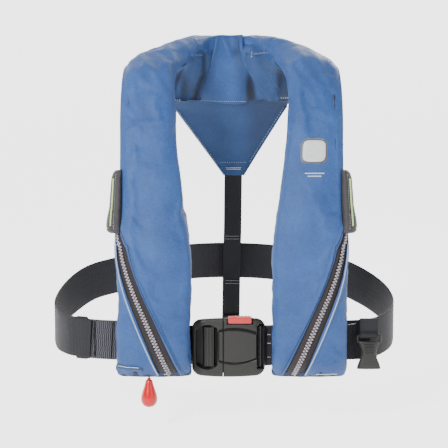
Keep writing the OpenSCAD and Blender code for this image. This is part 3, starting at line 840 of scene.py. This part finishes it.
def make_beads(side):
    """Moulded teeth: two columns of rounded beads, staggered by half a pitch."""
    places = [(u, zip_angle(station(LEFT_TABLE, u))) for u in np.linspace(0.15, SEAM - 0.05, 400)]
    track = np.hstack(skin_line(places, side, (0, 5)))
    along = path_lengths(track[:, :3]) / MM
    frames = []
    for k in range(int(along[-1] / BEAD_PITCH) * 2):
        at = (k // 2 + 0.25 + 0.5 * (k % 2)) * BEAD_PITCH
        c, n = np.split(at_length(track, along, at), 2)
        d = at_length(track, along, at + 1)[:3] - c
        n /= np.linalg.norm(n)
        d -= n * (d @ n)
        d /= np.linalg.norm(d)
        w = np.cross(d, n) * (1 if k % 2 else -1)
        centre = c + (w * BEAD_COLUMN + n * 1.3) * MM
        frames.append((centre, d * 1.35 * MM, w * 1.75 * MM, n * 1.15 * MM))
    outline = [(-1, 0.1), (-0.9, 0.55), (-0.5, 0.92), (0, 1), (0.5, 0.92), (0.9, 0.55), (1, 0.1)]
    beads = bead_string("teeth_" + side_name(side), frames, outline, 8, "teeth")
    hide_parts("zip_teeth_" + side_name(side))


def make_tape_trim(side, tree):
    """The turned edge of the cover along the outer side of the zip, painted light blue as a highlight, and a
    thinner, dark one on the inner side.
    """
    for edge, radius in ((1, 0.75), (-1, 0.45)):
        places = []
        for u in np.linspace(0.2, 5.4, 200):
            s = station(LEFT_TABLE, u)
            slit = zip_angle(s)
            places.append((u, slit + edge * (slit_half(s[0][2]) + 1.6) / per_degree(s, slit)))
        points, normals = settle(tree, *skin_line(places, side), 0.1 * MM)
        name = "zip_edge_" + side_name(side) + ("_outer" if edge > 0 else "_inner")
        tube(name, points, radius * MM, "piping_and_highlight" if edge > 0 else "hem_nylon", sides=6)


# ------------------------------------------------------------------ hems

def make_hem(side):
    """The closed foot of a cover: a dark band that turns under the lobe."""
    s = station(LEFT_TABLE, 0)
    angles = np.linspace(0, 360, 97)[:-1]
    rings = []
    profile = [
        (-356.5, 0.9, 1), (-358.5, 1.5, 1), (-361, 1.5, 1), (-363.2, 0.9, 1), (-364.3, -0.8, 1),
        (-364.2, 0, 0.9), (-363.6, 0, 0.7), (-363.4, 0, 0.45), (-363.3, 0, 0.2), (-363.3, 0, 0.05),
    ]
    for z, lift, scale in profile:
        level = station(LEFT_TABLE, float(np.interp(z, [-362, -352], [0, 1])))
        ring = skin(level, angles, lift)
        centre = level[0] * MM
        ring = centre + (ring - centre) * scale
        ring[:, 2] = z * MM
        for p, a in zip(ring, angles):
            if scale == 1:
                p[2] += 0.7 * MM * math.sin(math.radians(a) * 11 + 2) * ease((z + 366) / 8)
            p[2] += 0.8 * MM * noisy(p, 0.012, 4.0) * (1 if scale < 1 else 0.4)
        rings.append(ring)
    rings = mirror_x(rings, side)
    hem = loop_piece("foot_" + side_name(side), rings, "hem_nylon")
    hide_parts("hem_" + side_name(side))
    tack_from, tack_to = ((70, 75) if side < 0 else (132, 100))
    points = mirror_x(skin(station(LEFT_TABLE, 0.3), np.linspace(tack_from, tack_to, 8), 2.4), side)
    stitches("hem_tack_" + side_name(side), points, FRONT, "stitch", 1.8 * MM, 0.2 * MM, 0.6 * MM)


def make_hem_flap():
    """The folded corner at the outer end of the left hem, with its bar tack."""
    rows = []
    for t in np.linspace(0, 1, 16):
        row = []
        for q in np.linspace(0, 1, 30):
            wave = 1.5 * math.sin(q * 15) * (0.4 + 0.6 * t)
            z = -346.5 - 2.2 * q * (1 - t) - t * (11.5 + wave - 2.4 * q)
            s = station(LEFT_TABLE, float(np.interp(z, [-362, -352, -336], [0, 1, 2])))
            angle = 156 - 50 * q
            lift = 1.8 + 1.6 * math.sin(math.pi * t) + 1.2 * t + 0.8 * math.sin(q * 11 + 1) * t
            p = skin(s, [angle], lift)[0]
            p[2] = z * MM
            row.append(p)
        rows.append(row)
    grid = np.array(rows)
    # painted shade: the fold is painted in the darker, shaded nylon
    flap = sheet_piece("hem_fold_left", grid, "nylon_shade", thick=0.7 * MM, outward=False)
    line = grid[3, 4:27] + np.array([0, -0.0007, 0])
    stitches("hem_fold_tack", line, FRONT, "stitch", 1.6 * MM, 0.25 * MM, 0.5 * MM)


# ------------------------------------------------------------------ collar

# Folds on the neck side of the collar: points (x, z), height, width on the steep and the soft side.
FOLDS = [
    ([(13, 60), (14, 50), (19, 29), (37, 7), (60, -18), (65, -38)], 5.5, 1.4, 10),
    ([(-36, 41), (-36.5, 14), (-47, -11), (-56, -26)], -2.6, 5, 2.2),
    ([(-54, 63), (-36.5, 41)], 2.2, 1.2, 5),
    ([(-58, 30), (-66, 12), (-75, -8)], 3.4, 1.5, 6),
    ([(87, 58), (71, 40), (68, 27)], 2.6, 1.5, 6),
    ([(101, 47), (80, 16)], 3.0, 1.5, 6),
    ([(-13, 62), (-2, 37)], 1.8, 1.5, 7),
    ([(26, 38), (66, 38)], -1.2, 2, 2),
    ([(40, 55), (52, 20), (72, -14)], 2.6, 2, 8),
]
RECESSES = [(-67, 12, 9, 24, -5), (70, 2, 9, 22, -8), (6, 40, 9, 8, -2.2), (27, -4, 7, 22, -4.0)]


def fold_height(x, z):
    total = 0.0
    for line, height, steep, soft in FOLDS:
        best, signed = 1e9, 0.0
        for (x0, z0), (x1, z1) in zip(line, line[1:]):
            dx, dz = x1 - x0, z1 - z0
            t = min(max(((x - x0) * dx + (z - z0) * dz) / (dx * dx + dz * dz), 0), 1)
            away = math.hypot(x - x0 - t * dx, z - z0 - t * dz)
            if away < best:
                best = away
                signed = away if (x - x0) * dz - (z - z0) * dx < 0 else -away
        total += height * bump(best, 0, soft if signed > 0 else steep)
    for x0, z0, wide, tall, deep in RECESSES:
        total += deep * bump(x, x0, wide) * bump(z, z0, tall)
    return total


def neck_lift(points, base):
    """Lifts for points on the neck side, in millimetres: folds, recesses and small creases."""
    out = []
    for p in points:
        small = 0.7 * noisy(p, 0.02, 15.0) + 1.0 * noisy(p, 0.05, 12.0)
        below_rim = ease((64 - p[2] / MM) / 20)
        out.append(base + small + fold_height(p[0] / MM, p[2] / MM) * below_rim)
    return np.array(out)


def make_collar():
    rows = []
    columns = 110
    for u in np.linspace(1, 5, 120):
        s = station(NAPE_TABLE, u)
        angles = np.linspace(181, 535, columns)
        base = skin(s, angles, 0)
        inside = np.array([ease((a - 195) / 25) * (1 - ease((a - 325) / 25)) for a in angles])
        edge = np.array([ease(min(a - 181, 535 - a) / 25) for a in angles]) * ease(min(u - 1, 5 - u) / 0.15)
        outer = np.array([0.9 * noisy(p, 0.05, 12.0) + 0.4 * noisy(p, 0.02, 15.0) for p in base])
        neck = np.clip(neck_lift(base, 0.0), -2.0, 1.5)
        rows.append(skin(s, angles, edge * (outer * (1 - inside) + neck * inside)))
    collar = sheet_piece("collar_shell", np.array(rows), "nylon", outward=True)
    index = np.arange(len(rows) * columns).reshape(len(rows), columns)
    pins = np.unique(np.concatenate([index[0], index[-1], index[:, 0], index[:, -1], index[:, 4:50].ravel()]))
    simulate(collar, pins, 2.5 * MM)
    finish_cloth(collar, 1.3 * MM)
    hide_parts("cover_collar")
    return collar


COLLAR_STITCHES = [
    ("left", [(-58, 34), (-38, 37)], "stitch_blue"), ("right", [(26, 38.5), (66, 38.5)], "stitch_blue"),
    ("right_a", [(27.5, 42), (27.5, 34)], "stitch"), ("tack_left", [(-76, -21.4), (-68, -21.4)], "stitch"),
    ("tack_left_b", [(-76, -22.2), (-68, -22.2)], "stitch"),
    ("tack_right", [(67, -19), (78, -19)], "stitch"), ("hem", [(-60, -22), (36, -24)], "stitch_blue"),
]


def make_collar_panels(collar):
    """The neck side of the collar: a centre panel and a folded gusset either side."""
    panels = [
        # the gussets either side are painted in the darker, shaded nylon as painted shade
        ("center", (2.15, 2.22), (3.95, 3.6), (197, 197), (344, 344), "nylon", 4.0),
        ("left", (0.35, 0.35), (2.26, 2.3), (196, 199), (335, 301), "nylon_shade", 2.6),
        ("right", (3.9, 3.42), (5.6, 5.6), (199, 196), (318, 335), "nylon_shade", 5.0),
    ]
    across = np.linspace(0, 1, 90)
    for key, start, end, low, high, paint, base in panels:
        rows, painted_shade = [], []
        for t in np.linspace(0, 1, 110):
            points = []
            for q in across:
                u = mix(*start, q) * (1 - t) + mix(*end, q) * t
                s = station(NAPE_TABLE, u)
                angle = mix(mix(*low, t), mix(*high, t), q)
                ground = skin(s, [angle], 0)
                fold = neck_lift(ground, 0.0)[0]
                hem = ease(q * 14) * ease((1 - q) * (14 if key == "center" else 5))
                side_hem = 0.35 + 0.65 * ease(min(t, 1 - t) * 22)
                lift = max(base + fold, -1.2) * hem * side_hem + (1 - hem) * 0.4
                p = skin(s, [angle], lift)[0]
                if key != "center":
                    hang = 1 - ease(q / 0.3)
                    x = p[0] / MM
                    p = p * (1 - hang) + np.array([x, 64 - 0.0032 * x * x, -23.5]) * MM * hang
                points.append(p)
                # painted shade: darker in the recesses, along the left gusset's inner border and on the
                # centre panel where the gussets shadow it
                dark = 0.62 * ease(-fold / 3)
                if key == "left":
                    dark += 0.5 * bump(t, 1, 0.07)
                if key == "center":
                    dark += 0.35 * bump(t, 0.78, 0.16) + 0.25 * bump(t, 0.04, 0.10)
                painted_shade.append(dark)
            rows.append(points)
        grid = np.array(rows)
        panel = sheet_piece("collar_panel_" + key, grid, paint, thick=0.9 * MM, outward=True)
        paint_vertex_shade(panel, painted_shade)
        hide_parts("collar_flap_" + key)
    bpy.context.view_layer.update()
    trees = [surface_of(bpy.data.objects["collar_panel_" + key]) for key in ("center", "left", "right")]
    for key, ends, paint in COLLAR_STITCHES:
        (x0, z0), (x1, z1) = ends
        points = []
        for t in np.linspace(0, 1, 40):
            x, z = x0 + (x1 - x0) * t, z0 + (z1 - z0) * t
            start = Vector((x * MM, -0.08, z * MM))
            hits = [tree.ray_cast(start, Vector((0, 1, 0)), 0.25)[0] for tree in trees]
            near = [h for h in hits if h is not None]
            if near:
                points.append(min(near, key=lambda h: h.y) + Vector((0, -0.0004, 0)))
        if len(points) > 3:
            stitches("collar_stitch_" + key, points, FRONT, paint, 1.7 * MM, 0.9 * MM, 0.36 * MM)


# ------------------------------------------------------------------ yoke and back strap

# The back yoke from the collar down: height, how far back, left edge, right edge.
YOKE_ROWS = [
    (12, 58, -92, 90), (-8, 62, -89, 87), (-28, 74, -80.7, 77.8), (-40, 82, -71.9, 70.5),
    (-58, 91, -58.8, 59.6), (-76, 98, -45.6, 48.6), (-96, 104, -31.0, 36.4), (-118, 106.4, -14.9, 23.1), (-126, 107, -9.2, 18.2),
]


def make_yoke():
    table = np.array(YOKE_ROWS, float)
    rows = []
    for u in np.linspace(0, len(YOKE_ROWS) - 1, 70):
        z, y, x0, x1 = smooth_at(table, u)
        row = []
        for q in np.linspace(0, 1, 60):
            x = x0 + (x1 - x0) * q
            sag = 2.2 * math.sin(math.pi * q) * ease((z + 130) / 60)
            sag += ease((z + 36) / 30) * 18 * (x / 90) ** 2
            p = np.array([x, y - sag, z]) * MM
            fold = 1.4 * noisy(p, 0.05, 2.2) + 1.3 * bump(x, 18 + 0.35 * z, 6)
            row.append(p + np.array([0, -fold * MM * ease(min(q, 1 - q) * 8), 0]))
        rows.append(row)
    grid = np.array(rows)
    # painted shade: the yoke takes the darker, shaded nylon and grows darker still towards its right side,
    # where the right lobe shadows it
    yoke = sheet_piece("yoke_sheet", grid, "nylon_shade", thick=1.4 * MM, outward=False)
    paint_vertex_shade(yoke, [0.5 * ease((p[0] / MM - 8) / 30) for p in grid.reshape(-1, 3)])
    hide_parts("yoke_panel")
    front = np.array([0, -0.0008, 0])
    # the left edge's binding is painted light blue as a highlight, the right edge's in the shaded nylon as
    # painted shade
    tube("yoke_piping_left", grid[18:, 0] + front, 0.8 * MM, "piping_and_highlight")
    tube("yoke_piping_right", grid[18:, -1] + front, 0.9 * MM, "nylon_shade")
    for key, edge, inward in (("left", 0, 2.2), ("right", -1, -3.0)):
        line = grid[19:-13, edge] + front * 1.6 + np.array([inward * MM, 0, 0])
        stitches("yoke_stitch_" + key, line, FRONT, "stitch_blue", length=2.6 * MM, gap=1.4 * MM)
    line = grid[-14, 8:-8] + front * 0.6
    stitches("yoke_stitch_low", line, FRONT, "stitch_blue", length=2 * MM, gap=1 * MM)
    for k, row in enumerate((-11, -10)):
        line = grid[row, 14:-14] + front
        stitches("yoke_tack_" + str(k), line, FRONT, "stitch", 1.6 * MM, 0.1 * MM, 0.55 * MM)


# ------------------------------------------------------------------ webbing

BACK_ROUTE = [
    (-176, -87, -323), (-190, -81, -322), (-208, -69, -321), (-224, -45, -318), (-232, -5, -310),
    (-222, 38, -293), (-196, 72, -275), (-158, 96, -266), (-100, 112, -255), (-40, 118, -249),
    (30, 118, -249), (95, 111, -255), (148, 96, -266), (184, 68, -280), (206, 30, -294),
    (213, -10, -307), (205, -45, -316), (186, -70, -322), (166, -81, -324), (150, -83, -325),
]
FRONT_LEFT_ROUTE = [
    (-76, -79.3, -328), (-110, -80.5, -326.5), (-150, -82.5, -325), (-172, -81, -324),
    (-188, -76.2, -323), (-204, -65.5, -322),
]
FRONT_RIGHT_ROUTE = [
    (174, -87.8, -323), (150, -87, -324), (110, -86, -326), (70, -85, -329), (48, -83.6, -331),
    (38, -82.6, -331), (32.5, -82.9, -331), (28.7, -87, -331), (32.5, -91.1, -331),
    (38, -91.4, -331), (46, -89.8, -331), (58, -88.2, -330),
]
END_LEFT_ROUTE = [
    (-90, -82.9, -330), (-60, -82.9, -331), (-44, -82.9, -331), (-37, -82.6, -331),
    (-30, -81.8, -331), (-25.4, -86, -331), (-30, -90.2, -331), (-37, -87, -331),
    (-44, -85.2, -331), (-62, -85.2, -331),
]
STRAP_ROUTE = [
    (4, 109.2, -118), (3.5, 110, -150), (3, 111, -200), (2, 112.6, -240), (1.5, 112.8, -262),
    (1, 111, -300), (0.5, 108, -334),
]
TUNNEL_ROUTE = [(2, 114.9, -276), (2, 115.2, -262), (2, 115.2, -238), (2, 114.9, -222)]
CROTCH_LOOP_ROUTE = [
    (171, -91.2, -296), (171, -91.5, -306), (171, -92.2, -313), (171, -92.6, -318), (171, -95.4, -320),
    (171, -98.2, -317.5), (171, -97, -314.4), (171, -94.2, -311.5), (171, -93.2, -306), (171, -93, -296),
]
CROTCH_STRAP_ROUTE = [(0.5, 105.6, -326), (0.5, 104.8, -340), (0.5, 103, -352)]
BUNDLE_ROUTE = [
    (0, 100.4, -346), (0, 99.4, -376), (0, 96.8, -378), (0, 95.2, -375), (0, 95.6, -348),
    (0, 93.2, -346), (0, 91.4, -349), (0, 91, -378),
]


def tack_row(name, centre, half, along, towards, paint="stitch", radius=0.5):
    """A bar tack: a dense row of thread through the webbing."""
    ends = np.array(centre, float) + np.outer(np.linspace(-half, half, 20), along)
    line = ends * MM + np.array(towards, float) * 0.4 * MM
    stitches(name, line, towards, paint, 1.5 * MM, 0.15 * MM, radius * MM)


def make_webbing():
    pieces = [
        ("back_belt", "belt_back", BACK_ROUTE, 50, 2.0, "webbing", (0, 0, 1)),
        ("front_belt_left", "belt_front_left", FRONT_LEFT_ROUTE, 50, 2.0, "webbing_ribbed", (0, 0, 1)),
        ("front_belt_right", "belt_front_right", FRONT_RIGHT_ROUTE, 50, 2.0, "webbing", (0, 0, 1)),
        ("spine_strap", "back_strap", STRAP_ROUTE, 25, 2.0, "webbing_plain", ACROSS),
        ("tunnel_patch", "belt_tunnel", TUNNEL_ROUTE, 22, 1.0, "webbing_plain", ACROSS),
        ("crotch_web_loop", "crotch_loop", CROTCH_LOOP_ROUTE, 23, 1.4, "webbing_plain", ACROSS),
        ("crotch_web", "crotch_strap", CROTCH_STRAP_ROUTE, 25, 2.0, "webbing_plain", ACROSS),
        ("crotch_fold", "crotch_bundle", BUNDLE_ROUTE, 25, 2.0, "webbing_plain", ACROSS),
    ]
    for name, node, route, width, thick, paint, up in pieces:
        piece = strap(name, route, width, thick, paint, up, wave=0.6 * MM if width > 30 else 0.2 * MM)
        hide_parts(node)
    end = strap("tongue_belt", END_LEFT_ROUTE, 49, 2.0, "webbing", body="tongue")
    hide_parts("belt_end_left")
    for k, z in enumerate((-213, -217, -277, -281)):
        y = 111.5 if z > -220 else 111.9
        tack_row("strap_tack_" + str(k), (2.5, y - 1, z), 10, ACROSS, FRONT, "stitch_grey", 0.4)
    for k, z in enumerate((-316.5, -327.5, -345)):
        tack_row("belt_tack_" + str(k), (47, -91.4, z), 2.4, ACROSS, FRONT)
    tack_row("loop_tack", (150, -89.6, -303.5), 5, (0.98, -0.04, 0.14), (0.1, -1.0, 0))


def make_side_loop():
    """The doubled waist strap at the left, over its adjuster: a second layer with standing ridges."""
    route = [
        (-150, -84.8, -325), (-166, -85, -324), (-178, -82.6, -323), (-190, -77.4, -322.5),
        (-200, -70.5, -322),
    ]
    strap("belt_overlay_left", route, 49, 1.6, "webbing_ribbed", wave=0.3 * MM)
    for k, (x, y) in enumerate([(-199.4, -73.4), (-190.6, -79.0), (-171.5, -86.5)]):
        points = [(x * MM, y * MM, z * MM) for z in np.linspace(-345, -300, 30)]
        tube("belt_ridge_" + str(k), points, 0.9 * MM, "webbing_plain")


# ------------------------------------------------------------------ edge tabs

TAB_FROM = 5.25
TAB_TO = 6.6


def tab_crown(t):
    return max(0.0, 1 - abs(2 * t - 1) ** 4) ** 0.5


def tab_skin(t, q, extra):
    s = station(LEFT_TABLE, TAB_FROM + (TAB_TO - TAB_FROM) * t)
    low = (1 - t) ** 2
    lift = 2.8 + (7 + 3 * low) * math.sqrt(max(0, math.sin(math.pi * q))) + 3.8 * tab_crown(t)
    front = 148 - 7 * low
    return skin(s, [front + (232 - front) * q], lift + extra)[0]


def make_tab(side):
    rings = []
    for t in np.linspace(0.0, 1.0, 60):
        outer, inner = [], []
        for q in np.linspace(0, 1, 40):
            end = ease(min(t, 1 - t) / 0.06)
            p = tab_skin(t, q, 0)
            ruffle = 0.35 * math.sin(t * 40 + 4 * q) * ease(1 - min(q, 1 - q) * 5)
            wrinkle = 0.8 * noisy(p, 0.016, 6.0) + ruffle
            seam = -0.8 * bump(t, 0.07, 0.02) - 0.8 * bump(t, 0.93, 0.02)
            outer.append(tab_skin(t, q, wrinkle + seam - 1.6 * (1 - end)))
            inner.append(tab_skin(t, q, -1.4 - 3.4 * tab_crown(t) * end - 0.2 * (1 - end)))
        rings.append(outer + inner[::-1])
    tab = loop_piece("side_tab_" + side_name(side), mirror_x(rings, side), "tab")
    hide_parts("edge_tab_" + side_name(side))
    track = [tab_skin(t, 0.1, 0.8) for t in np.linspace(0.12, 0.86, 60)]
    piping_and_highlight = tube("tab_cord_" + side_name(side), mirror_x(track, side), 1.0 * MM, "lime")
    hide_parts("tab_piping_" + side_name(side))
    for key, q in (("a", 0.05), ("b", 0.2)):
        line = np.array([tab_skin(t, q, 0.3) for t in np.linspace(0.06, 0.94, 60)])
        lifted = np.array([tab_skin(t, q, 3) for t in np.linspace(0.06, 0.94, 60)])
        out = mirror_x(lifted - line, side)
        line = mirror_x(line, side)
        stitches("tab_stitch_" + side_name(side) + key, line, out, "stitch_grey", radius=0.25 * MM)


# ------------------------------------------------------------------ main buckle

BUCKLE_X = (-49.5, 42)
BUCKLE_Z = -331
BUCKLE_SEAM = -10.2
BUCKLE_FACE = -98.0
BUCKLE_BACK = -76.0


def buckle_reach(x, upper):
    """How far the buckle reaches above or below its middle at x: round corners and a bowed edge."""
    end = min(x - BUCKLE_X[0], BUCKLE_X[1] - x, 11.0)
    corner = 11 - math.sqrt(max(0.0, 121 - (11 - end) ** 2))
    bow = 1.8 * ((x - 6) / 45) ** 2 if upper else 2.6 * ((x + 4) / 45) ** 2
    return (36 if upper else 38.2) - corner - bow


def step(x, at, soft):
    return ease((x - at) / soft + 0.5)


def window(x, low, high, soft):
    return step(x, low, soft) * (1 - step(x, high, soft))


def pad_relief(x, z):
    """The raised pad that runs across both halves between two curved grooves."""
    top = 21.2 - 0.007 * (x - 4) ** 2
    bottom = -19.5 + 0.0085 * (x - 4) ** 2
    across = window(x, -15.6, 31.0, 0.8)
    h = 1.5 * window(z, bottom, top, 2.0) * across
    return h - 2.2 * (bump(z, top + 1.4, 1.0) + bump(z, bottom - 1.4, 1.0)) * across


def housing_relief(x, z):
    """Height of the fixed half's face above its plane, in millimetres."""
    h = pad_relief(x, z)
    h -= 9.5 * window(x, 32.2, 39.4, 0.8) * window(z, -27, 28, 2.4)
    h -= 5.0 * window(x, -5.4, 26.6, 0.5) * step(z, 28.6, 0.5)
    return h - 2.0 * ease((x - 26) / 15) * (1 - window(z, -24, 24, 6))


def tongue_relief(x, z):
    """Height of the sliding half's face: a rounded recess with a ridged bar in it."""
    h = pad_relief(x, z) - 2.6 * (1 - ease((x + 48) / 16))
    h -= 1.2 * bump(x, -16.2, 0.6) * window(z, -18, 19, 2)
    bend = 0.03 * (x + 30) ** 2
    h -= 9.0 * window(x, -44, -18.4, 2.2) * window(z, -27.5 + bend, 26.5 - bend, 3)
    bar = window(x, -34.6, -21.2, 2.2) * window(z, -26, 25, 2)
    ridges = 0.9 * (bump(x, -31.2, 0.8) + bump(x, -27.6, 0.8) + bump(x, -24.2, 0.8))
    return h + bar * (6.2 + ridges)


def relief_block(name, x0, x1, relief, paint, body):
    """A moulded half: a relief face, rounded rims and a plain back, as one closed solid."""
    cols, rows = 120, 150
    xs = np.linspace(x0, x1, cols)
    b = np.sin(np.linspace(-math.pi / 2, math.pi / 2, rows) * 0.98) / math.sin(math.pi / 2 * 0.98)
    verts = np.zeros((2, cols, rows, 3))
    for i, x in enumerate(xs):
        for j, v in enumerate(b):
            half = buckle_reach(x, v > 0)
            z = v * half
            rim = min(half - abs(z), x - BUCKLE_X[0], BUCKLE_X[1] - x)
            seam_edge = min(x - x0, x1 - x)
            round_off = 2.6 * (1 - math.sqrt(max(0, 1 - (1 - min(rim, 3.6) / 3.6) ** 2)))
            round_off += 0.8 * (1 - ease(seam_edge / 0.9))
            verts[0, i, j] = (x, BUCKLE_FACE - relief(x, z) + round_off, BUCKLE_Z + z)
            verts[1, i, j] = (x, BUCKLE_BACK - 0.6 * round_off, BUCKLE_Z + z * 0.93)
    count = cols * rows
    plain = grid_faces(cols, rows)
    faces = [(a, d, c, b) for a, b, c, d in plain]
    faces += [tuple(count + k for k in face) for face in plain]
    low = [i * rows for i in range(cols)]
    high = [k + rows - 1 for k in low]
    first = list(range(rows))
    last = [k + count - rows for k in first]
    for line, flip in ((low, False), (high, True), (first, True), (last, False)):
        for a, b in zip(line, line[1:]):
            quad = (a, count + a, count + b, b)
            faces.append(quad[::-1] if flip else quad)
    uvs = np.tile(verts[0][..., [0, 2]].reshape(-1, 2) * MM, (2, 1))
    piece = new_piece(name, verts.reshape(-1, 3) * MM, faces, paint, body, uvs)
    modify(piece, "edges", "EDGE_SPLIT", split_angle=math.radians(50))
    return piece


def rounded_bar(name, x0, x1, y0, y1, z0, z1, paint, body, bevel=0.8):
    corners = [(x, y, z) for z in (z0, z1) for x, y in ((x0, y0), (x1, y0), (x1, y1), (x0, y1))]
    faces = [(3, 2, 1, 0), (4, 5, 6, 7), (0, 1, 5, 4), (1, 2, 6, 5), (2, 3, 7, 6), (3, 0, 4, 7)]
    piece = new_piece(name, np.array(corners) * MM, faces, paint, body)
    modify(piece, "bevel", "BEVEL", width=bevel * MM, segments=4)
    modify(piece, "normals", "WEIGHTED_NORMAL")
    return piece


def make_buckle():
    gap = 0.25
    housing = relief_block(
        "buckle_shell", BUCKLE_SEAM + gap, BUCKLE_X[1], housing_relief, "plastic", JACKET
    )
    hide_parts("buckle_housing_front", "buckle_housing_back")
    tongue = relief_block(
        "tongue_shell", BUCKLE_X[0], BUCKLE_SEAM - gap, tongue_relief, "plastic", "tongue"
    )
    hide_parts("tongue_body", "tongue_bar")
    rounded_bar("buckle_core", -14, -4, -95.2, -79, -364.5, -299, "plastic_dark", JACKET, 2)
    rod = [(0.0362, -0.0935, z) for z in np.linspace(-0.357, -0.305, 20)]
    tube("slot_rod", rod, 1.5 * MM, "plastic_dark", sides=16)
    button = rounded_bar("button_cap", -4.5, 25.5, -98.4, -84, -302.0, -294.0, "button", "button", 1.8)
    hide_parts("release_button")
    for k in range(6):
        x = 0.4 + 4 * k
        rounded_bar("button_rib_" + str(k), x, x + 1.7, -98.3, -85, -294.6, -293.6, "button", "button", 0.3)


# ------------------------------------------------------------------ crotch buckle

def make_crotch_buckle():
    """Socket half of a side-release buckle: narrow waist, flared foot, open ring at the top."""
    cx, top = 171, -315.5
    halves = [
        (0, 15), (3, 15.2), (7.5, 14.6), (12, 12.2), (18, 10), (24, 9.2), (30, 10.5), (36, 13),
        (42, 14.8), (43.5, 14.4),
    ]
    depths = [(0, 3.0), (7, 3.0), (14, 3.6), (24, 4.6), (36, 5.0), (43.5, 4.6)]
    rings = []
    for v in np.linspace(8.2, 43.5, 60):
        half, deep = lookup(v, halves), lookup(v, depths)
        end = math.sqrt(max(0.02, 1 - max(0, (v - 41.5) / 2.2) ** 2))
        end *= math.sqrt(min(1, (v - 7.7) / 1.2))
        ring = []
        for k in range(40):
            x, y = section(360 * k / 40)
            ridge = 0.5 * math.sin(v * 1.9) * (abs(x) > 0.82) * (14 < v < 30)
            aside = cx + x * (half * (0.97 + 0.03 * end) + ridge)
            ring.append((aside * MM, (-96.4 + y * deep * end) * MM, (top - v) * MM))
        rings.append(ring)
    body = loop_piece("crotch_socket_shell", rings, "plastic", "crotch")
    corner = [(-13.6, -9.5), (-14.4, -5), (-14.2, -2), (-12.6, -0.9)]
    ring_path = corner + [(0, -0.6)] + [(-x, z) for x, z in corner[::-1]]
    path = route_points([(cx + x, -95.6, top + z - 0.6) for x, z in ring_path], 6)
    tube("crotch_ring", path, 1.5 * MM, "plastic", "crotch", 14)
    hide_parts("crotch_buckle")
    for k in range(4):
        z = top - 13 - 3.4 * k
        name = "crotch_rib_" + str(k)
        rounded_bar(name, cx - 6, cx + 6, -101.2, -99.6, z, z + 1.2, "plastic_dark", "crotch", 0.4)


# ------------------------------------------------------------------ badge and plain bars

def patch_piece(name, side, u_range, a_range, paint, tree, lift, inset=0.0, power=4):
    """A rounded patch laid on the cover's surface."""
    mid_u, half_u = sum(u_range) / 2, (u_range[1] - u_range[0]) / 2
    mid_a, half_a = sum(a_range) / 2, (a_range[1] - a_range[0]) / 2
    rings = []
    for scale in [0.02, 0.35, 0.7, 0.93, 1.0]:
        places = []
        for k in range(64):
            c, s = math.cos(TAU * k / 64), math.sin(TAU * k / 64)
            r = (abs(c) ** power + abs(s) ** power) ** (-1 / power) * scale * (1 - inset)
            places.append((mid_u + half_u * r * s, mid_a + half_a * r * c))
        rings.append(settle(tree, *skin_line(places, side), (lift if scale < 1 else 0.1) * MM)[0])
    return loop_piece(name, rings, paint)


def make_badge(trees):
    tree = trees[1]
    edge = patch_piece("badge_border", 1, (6.72, 7.28), (60, 118), "badge_edge", tree, 0.5)
    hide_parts("badge_patch")
    patch_piece("badge_field", 1, (6.72, 7.28), (60, 118), "badge", tree, 0.9, inset=0.12)
    for k, (u, half) in enumerate([(6.52, 20), (6.46, 14)]):
        places = [(u, a) for a in np.linspace(92 - half, 92 + half, 24)]
        points, normals = settle(tree, *skin_line(places, 1), 0.2 * MM)
        stitches("plain_bar_" + str(k), points, normals, "stitch", 1.6 * MM, 0.05 * MM, 0.8 * MM)


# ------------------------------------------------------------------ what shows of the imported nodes

NODE_PAINT = {
    "bladder": ["bladder_left", "bladder_right", "bladder_collar"],
    "steel": ["buckle_web_bar", "latch_plate", "button_spring", "tongue_plate", "co2_cylinder", "lever_pin"],
    "black": [
        "inflator_body", "retaining_clip", "manifold_flange", "oral_tube",
        "zip_slider_left", "zip_slider_right",
    ],
    "plastic": ["belt_adjuster", "crotch_clip"],
    "webbing_plain": ["belt_keeper", "crotch_keeper", "lifting_loop"],
    "yellow": ["auto_cap"],
    "button": ["inflator_lever", "oral_cap"],
    "orange": ["whistle"],
}


def paint_nodes():
    for paint, names in NODE_PAINT.items():
        for name in names:
            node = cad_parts[name]
            node.data.materials.clear()
            node.data.materials.append(PAINT[paint])
            if not name.startswith("bladder"):
                modify(
                    node, "bevel", "BEVEL", width=0.35 * MM, segments=2,
                    limit_method="ANGLE", angle_limit=math.radians(40),
                )


# ------------------------------------------------------------------ build

make_camera()
make_studio()
make_stage()
dress_cords()
covers = {side: make_cover(side) for side in (-1, 1)}
bpy.context.view_layer.update()
trees = {side: surface_of(cover) for side, cover in covers.items()}
for side in (-1, 1):
    make_tape(side)
    make_beads(side)
    make_tape_trim(side, trees[side])
    make_hem(side)
    make_tab(side)
make_hem_flap()
make_collar_panels(make_collar())
make_yoke()
make_webbing()
make_side_loop()
make_buckle()
make_crotch_buckle()
make_badge(trees)
paint_nodes()

bpy.context.view_layer.update()
